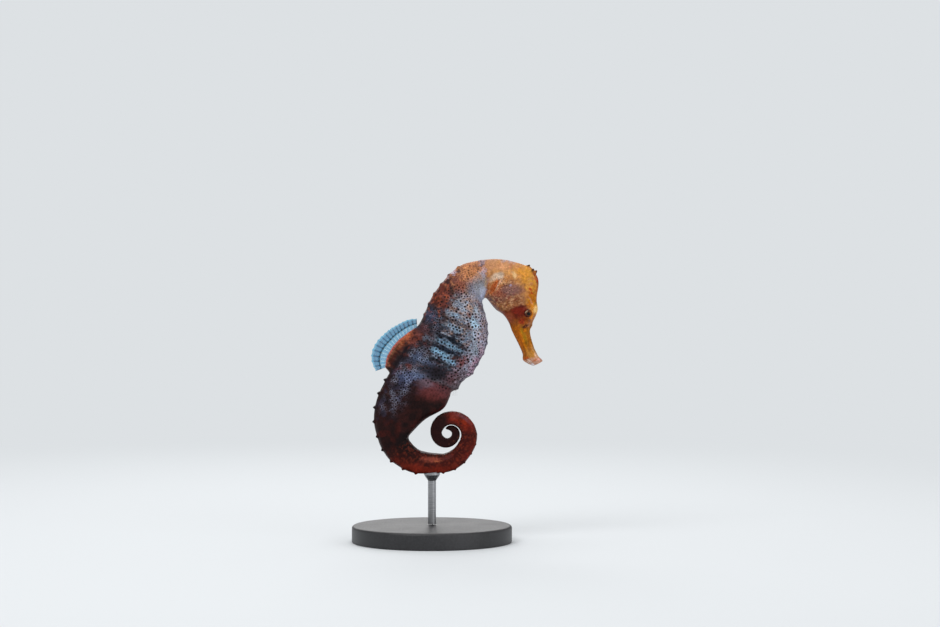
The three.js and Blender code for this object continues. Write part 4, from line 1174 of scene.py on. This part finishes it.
def make_eye(hand, side_sign):
    polar = np.radians(np.linspace(0.8, 179.2, EYE_ROWS))[:, None]
    round_it = math.tau * np.arange(EYE_COLUMNS)[None, :] / EYE_COLUMNS * side_sign
    radius = EYE["radius"] + EYE_BULGE * (1 - smooth(0.25, 0.75, polar))
    x = radius * np.sin(polar) * np.cos(round_it)
    z = radius * np.sin(polar) * np.sin(round_it)
    y = radius * np.cos(polar) * np.ones_like(x)
    centre = np.array([EYE["x"], EYE["side"] * side_sign, EYE["z"] + LIFT])
    globe = make_mesh(f"eye_{hand}_globe", np.stack([x, y * side_sign, z], axis=2) + centre)
    pupil = np.hypot((x - PUPIL["x"]) / PUPIL["long"], (z - PUPIL["z"]) / PUPIL["high"])
    away = np.hypot(x, z)
    # the iris: brown above, orange in front, with a pale arc above and behind the pupil that is a
    # painted highlight, and fine streaks
    colours = np.ones((*x.shape, 3)) * rgb(EYE_COLOURS["iris"])
    upper = smooth(-0.5, 0.6, waves(np.stack([x, y, z], axis=2), 1.2, 22))
    colours = painted(colours, EYE_COLOURS["top"], 0.5 * upper)
    colours = painted(colours, EYE_COLOURS["front"], 0.8 * smooth(0.2, 1.1, x))
    pale = hump(away, 0.76, 0.15) * smooth(0.6, 0.98, (0.65 * z - 0.75 * x) / away)
    colours = painted(colours, EYE_COLOURS["arc"], 0.75 * pale)
    streaks = waves(np.stack([4 * round_it + 0 * x, away, 0 * x], axis=2), 1.0, 21)
    colours = colours * (1 + 0.15 * streaks)[..., None]
    # a ring round the pupil, the rim of the eye, and the pupil
    colours = painted(colours, EYE_COLOURS["ring"], 0.4 * hump(pupil, 1.15, 0.1))
    rim = painted(rgb(EYE_COLOURS["rear rim"]), EYE_COLOURS["front rim"], smooth(-0.2, 1.0, x))
    colours = mixed(colours, rim, smooth(IRIS - 0.2, IRIS + 0.02, away)[..., None])
    colours = painted(colours, EYE_COLOURS["pupil"], 1 - smooth(0.92, 1.04, pupil))
    set_colours(globe, np.clip(with_ends(colours), 0, 1))
    globe.data.materials.append(EYE_MATERIAL)
    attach(globe, "root")
    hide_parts(f"eye_{hand}")


for hand, side_sign in (("left", 1), ("right", -1)):
    make_eye(hand, side_sign)

# ---------------- fins

FIN_MATERIAL = fin_material()
STEPS_PER_RAY = 8
ALONG_RAY = 36
DORSAL_THICK, FAN_THICK = 0.16, 0.14  # half the thickness, at the root of a ray
SCALLOP = 0.045  # how far the edge draws in between rays, as a share of their length


def make_fin(name, root, tip, rays, bend, thick, paint, node):
    """A membrane between the line of its root and the line of its tips, with raised rays.

    root and tip give points for shares of the way along the fin. bend gives how far a
    point lies off to the side, and paint its colour and how solid it is, from its share
    along the fin and along its ray.
    """
    share_along = np.linspace(0, 1, (rays - 1) * STEPS_PER_RAY + 1)[:, None]
    out = np.linspace(0, 1, ALONG_RAY)[None, :]
    ray = ring_crest(share_along * (rays - 1), 4) * np.ones_like(out)
    low, high = root(share_along[:, 0])[:, None, :], tip(share_along[:, 0])[:, None, :]
    reach = (out * (1 - SCALLOP * (1 - ray) * out))[..., None]
    surface = mixed(low, high, reach)
    facing = np.cross(high - low, np.gradient((low + high) / 2, axis=0))
    facing /= np.linalg.norm(facing, axis=2)[..., None]
    surface = surface + facing * bend(share_along, out)[..., None]
    # thickest on the rays and at the root, and thin at both ends of the fin
    edge = smooth(0, 0.06, share_along) * smooth(0, 0.06, 1 - share_along)
    half_thick = (thick * (0.35 + 0.65 * ray) * (1 - 0.65 * out) * (0.4 + 0.6 * edge))[..., None]

    def both_faces(near, far):
        return np.concatenate([near, far[:, ::-1]], axis=1)

    near, far = surface + facing * half_thick, surface - facing * half_thick
    piece = make_mesh(name, both_faces(near, far) + np.array([0, 0, LIFT]))
    colours, solid = paint(share_along, out, ray)
    set_colours(piece, with_ends(both_faces(colours, colours)))
    set_numbers(piece, "solid", with_ends(both_faces(solid, solid)))
    piece.data.materials.append(FIN_MATERIAL)
    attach(piece, "root")
    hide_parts(node)


def upright(x, z):
    return np.stack([x, np.zeros_like(x), z], axis=-1)


def dorsal_root(share_along, sunk=0.25):
    at_ring = mixed(FIN_BASE["from"], FIN_BASE["to"], share_along)
    back_there, way = outward(at_ring)
    rise_there = through(FIN_SHAPE, share_along)[:, 1] - sunk
    place = back_there + way * rise_there[:, None]
    return upright(place[:, 0], place[:, 1])


def dorsal_tip(share_along):
    shape = through(FIN_SHAPE, share_along)
    angle = np.radians(shape[:, 3])
    start = dorsal_root(share_along, sunk=0)
    return start + upright(np.cos(angle) * shape[:, 2], np.sin(angle) * shape[:, 2])


def ripples(share_along, height, count):
    """A number of waves along a fin."""
    return height * np.sin(math.tau * share_along * count)


def dorsal_bend(share_along, out):
    return ripples(share_along, 0.22, 5.5) * out + ripples(share_along, 0.05, 16) * out


DORSAL_COLOURS = {
    "inner": "52A8D0", "outer": "148AB8", "pale rays": "C4E6F4", "dark rays": "123F68",
    "edge": "7CC6E4", "stripe": "08182E",
}


def dorsal_paint(share_along, out, ray):
    """Blue, with pale rays inside a dark beaded stripe and dark ones outside it."""
    inner, outer = rgb(DORSAL_COLOURS["inner"]), DORSAL_COLOURS["outer"]
    colours = painted(inner, outer, smooth(0.45, 0.6, out)) * np.ones((*ray.shape, 1))
    pale_rays, dark_rays = ray * (1 - smooth(0.4, 0.52, out)), ray * band(out, 0.56, 0.86, 0.05)
    colours = painted(colours, DORSAL_COLOURS["pale rays"], 0.85 * pale_rays)
    colours = painted(colours, DORSAL_COLOURS["dark rays"], 0.85 * dark_rays)
    colours = painted(colours, DORSAL_COLOURS["edge"], 0.8 * smooth(0.84, 0.95, out))
    stripe = hump(out, 0.48 + 0.02 * np.sin(9 * share_along), 0.045 + 0.025 * ray)
    stripe = np.clip(1.6 * stripe * (0.55 + 0.45 * ray), 0, 1)
    colours = painted(colours, DORSAL_COLOURS["stripe"], stripe)
    solid = 0.6 + 0.3 * ray * (1 - 0.6 * out) + 0.6 * stripe + 0.1 * smooth(0.9, 1, out)
    return colours, np.clip(solid, 0, 1)


make_fin(
    "dorsal_fin_membrane", dorsal_root, dorsal_tip, FIN_RAYS, dorsal_bend, DORSAL_THICK,
    dorsal_paint, "dorsal_fin",
)

PECTORAL = {"x": 16.3, "z": 57.6, "side": 4.3, "length": 5.0, "root": 1.2, "spread": 62,
            "flare": 32, "rays": 16}
ANAL = {"x": 6.9, "z": 25.6, "length": 2.0, "root": 0.5, "spread": 36, "slant": 100, "rays": 4}
FAN_ROUNDING = 0.9  # of a fan's breadth, which makes it a little narrower than a circle


def fan_lines(shape, ahead, across, start):
    """The root and tip lines of a fan that points along ahead and spreads along across."""

    def root(share_along):
        offset = mixed(-shape["root"], shape["root"], share_along)
        return start + np.outer(offset, across)

    def tip(share_along):
        angle = np.radians(mixed(-shape["spread"], shape["spread"], share_along))
        forward = np.outer(np.cos(angle) * shape["length"], ahead)
        return start + forward + np.outer(np.sin(angle) * shape["length"] * FAN_ROUNDING, across)

    return root, tip


CLEAR_COLOURS = {
    "root": "C8A070", "membrane": "D8E4E6", "rays": "E4D8C0", "joints": "6A5A50", "belly": "7A6A76",
}


def clear_paint(share_along, out, ray):
    """Nearly clear membrane with fine pale rays, brownish at the root."""
    root, membrane = rgb(CLEAR_COLOURS["root"]), CLEAR_COLOURS["membrane"]
    colours = painted(root, membrane, smooth(0.0, 0.35, out)) * np.ones((*ray.shape, 1))
    colours = painted(colours, CLEAR_COLOURS["rays"], 0.6 * ray)
    colours = painted(colours, CLEAR_COLOURS["joints"], 0.5 * band(out, 0.5, 0.6, 0.05) * ray)
    return colours, 0.04 + 0.16 * ray * (1 - 0.5 * out) + 0.5 * (1 - smooth(0, 0.2, out))


def belly_paint(share_along, out, ray):
    """The same membrane, of the colour of the belly and fainter."""
    colours, solid = clear_paint(share_along, out, ray)
    return mixed(colours, rgb(CLEAR_COLOURS["belly"]), 0.6), 0.6 * solid


def fan_bend(share_along, out):
    return ripples(share_along, 0.12, 3.5) * out


for hand, side_sign in (("left", 1), ("right", -1)):
    flare = math.radians(PECTORAL["flare"])
    ahead = np.array([-math.cos(flare), side_sign * math.sin(flare), 0])
    start = np.array([PECTORAL["x"], side_sign * PECTORAL["side"], PECTORAL["z"]])
    root, tip = fan_lines(PECTORAL, ahead, np.array([0, 0, 1]), start)
    name = f"pectoral_fin_{hand}"
    make_fin(
        f"{name}_membrane", root, tip, PECTORAL["rays"], fan_bend, FAN_THICK, clear_paint, name
    )

slant = math.radians(ANAL["slant"])
ahead = np.array([math.cos(slant), 0, -math.sin(slant)])
across = np.array([math.sin(slant), 0, math.cos(slant)])
start = np.array([ANAL["x"], 0, ANAL["z"]])
root, tip = fan_lines(ANAL, ahead, across, start)
make_fin("anal_fin_membrane", root, tip, ANAL["rays"], fan_bend, FAN_THICK, belly_paint, "anal_fin")

# ---------------- the stand

# the base plate, with round edges above (edge) and below (foot)
BASE = {"radius": 24.0, "height": 5.0, "edge": 0.8, "foot": 0.3}
BASE_COLUMNS = 160
BASE_ARC_STEPS = 8
BASE_INNERMOST = 0.5  # radius of the rings nearest to the axis


def arc(middle_r, middle_z, radius, start, end):
    """Points of the plate's profile on a round edge, between two angles from straight out."""
    angle = np.radians(np.linspace(start, end, BASE_ARC_STEPS))
    return np.stack([middle_r + radius * np.cos(angle), middle_z + radius * np.sin(angle)], axis=1)


def flat(radius, height, count):
    """Points of the profile from near the axis out to just short of that radius."""
    rings = np.linspace(BASE_INNERMOST, radius, count + 1)[:-1]
    return np.stack([rings, np.full(count, height)], axis=1)


foot, edge = BASE["foot"], BASE["edge"]
profile = np.concatenate([
    flat(BASE["radius"] - foot, 0, 5),
    arc(BASE["radius"] - foot, foot, foot, -90, 0),
    arc(BASE["radius"] - edge, BASE["height"] - edge, edge, 0, 90),
    flat(BASE["radius"] - edge, BASE["height"], 11)[::-1],
])
round_it = math.tau * np.arange(BASE_COLUMNS) / BASE_COLUMNS
plate_rows = np.stack([
    profile[:, :1] * np.cos(-round_it),
    profile[:, :1] * np.sin(-round_it),
    profile[:, 1:] * np.ones(BASE_COLUMNS),
], axis=2)
plate = make_mesh("stand_base_plate", plate_rows)
plate.data.materials.append(stand_base_material())
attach(plate, "root")
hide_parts("stand_base")

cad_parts["stand_rod"].data.materials.clear()
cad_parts["stand_rod"].data.materials.append(stand_rod_material())

# ---------------- floor and light

BACKDROP, FLOOR = "DDE1E4", "DCE0E3"
BACKDROP_LIGHT = 0.4  # strength of the light that comes from all round
FLOOR_REACH = 4000.0
FLOOR_FADE = (0.12, 0.5)  # metres from the middle over which the floor turns into the backdrop
LAMPS_AIM = (8, 0, 55)
# name, place, size, power in watts
LAMPS = [
    ("lamp_key", (-350, -500, 620), 400, 2.6),
    ("lamp_fill", (520, -480, 200), 500, 1.3),
    ("lamp_top", (60, 80, 800), 500, 2.4),
    ("lamp_back", (-100, 620, 420), 500, 1.8),
]

reach = FLOOR_REACH * MM
floor_mesh = bpy.data.meshes.new("floor")
corners = [(-reach, -reach, 0), (reach, -reach, 0), (reach, reach, 0), (-reach, reach, 0)]
floor_mesh.from_pydata(corners, [], [(0, 1, 2, 3)])
floor = bpy.data.objects.new("floor", floor_mesh)
bpy.context.scene.collection.objects.link(floor)

made, tree, shader = new_material("floor", Roughness=0.9, Specular_IOR_Level=0.1)
shader.inputs["Base Color"].default_value = colour(FLOOR)
far = add(tree, "ShaderNodeEmission", {"Color": colour(BACKDROP)})
fade = fitted(tree, distance(tree, here(tree)), *FLOOR_FADE)
both = add(tree, "ShaderNodeMixShader", {0: fade, 1: shader.outputs[0], 2: far.outputs[0]})
tree.links.new(both.outputs[0], tree.nodes["Material Output"].inputs["Surface"])
floor.data.materials.append(made)

world = bpy.data.worlds.new("studio")
world.use_nodes = True
bpy.context.scene.world = world
tree = world.node_tree
tree.nodes.clear()
rays = add(tree, "ShaderNodeLightPath").outputs
seen = calculate(tree, "MAXIMUM", rays["Is Camera Ray"], rays["Is Transmission Ray"])
shown = add(tree, "ShaderNodeBackground", {"Color": colour(BACKDROP), "Strength": 1.0})
lit = add(tree, "ShaderNodeBackground", {"Color": colour("FFFFFF"), "Strength": BACKDROP_LIGHT})
both = add(tree, "ShaderNodeMixShader", {0: seen, 1: lit.outputs[0], 2: shown.outputs[0]})
output = add(tree, "ShaderNodeOutputWorld")
tree.links.new(both.outputs[0], output.inputs["Surface"])


for name, place, size, power in LAMPS:
    lamp_data = bpy.data.lights.new(name, "AREA")
    lamp_data.size = size * MM
    lamp_data.energy = power
    lamp = bpy.data.objects.new(name, lamp_data)
    lamp.location = [value * MM for value in place]
    way = np.array(LAMPS_AIM, float) - np.array(place, float)
    lean = math.atan2(math.hypot(way[0], way[1]), -way[2])
    lamp.rotation_euler = lean, 0, math.atan2(-way[0], way[1])
    bpy.context.scene.collection.objects.link(lamp)
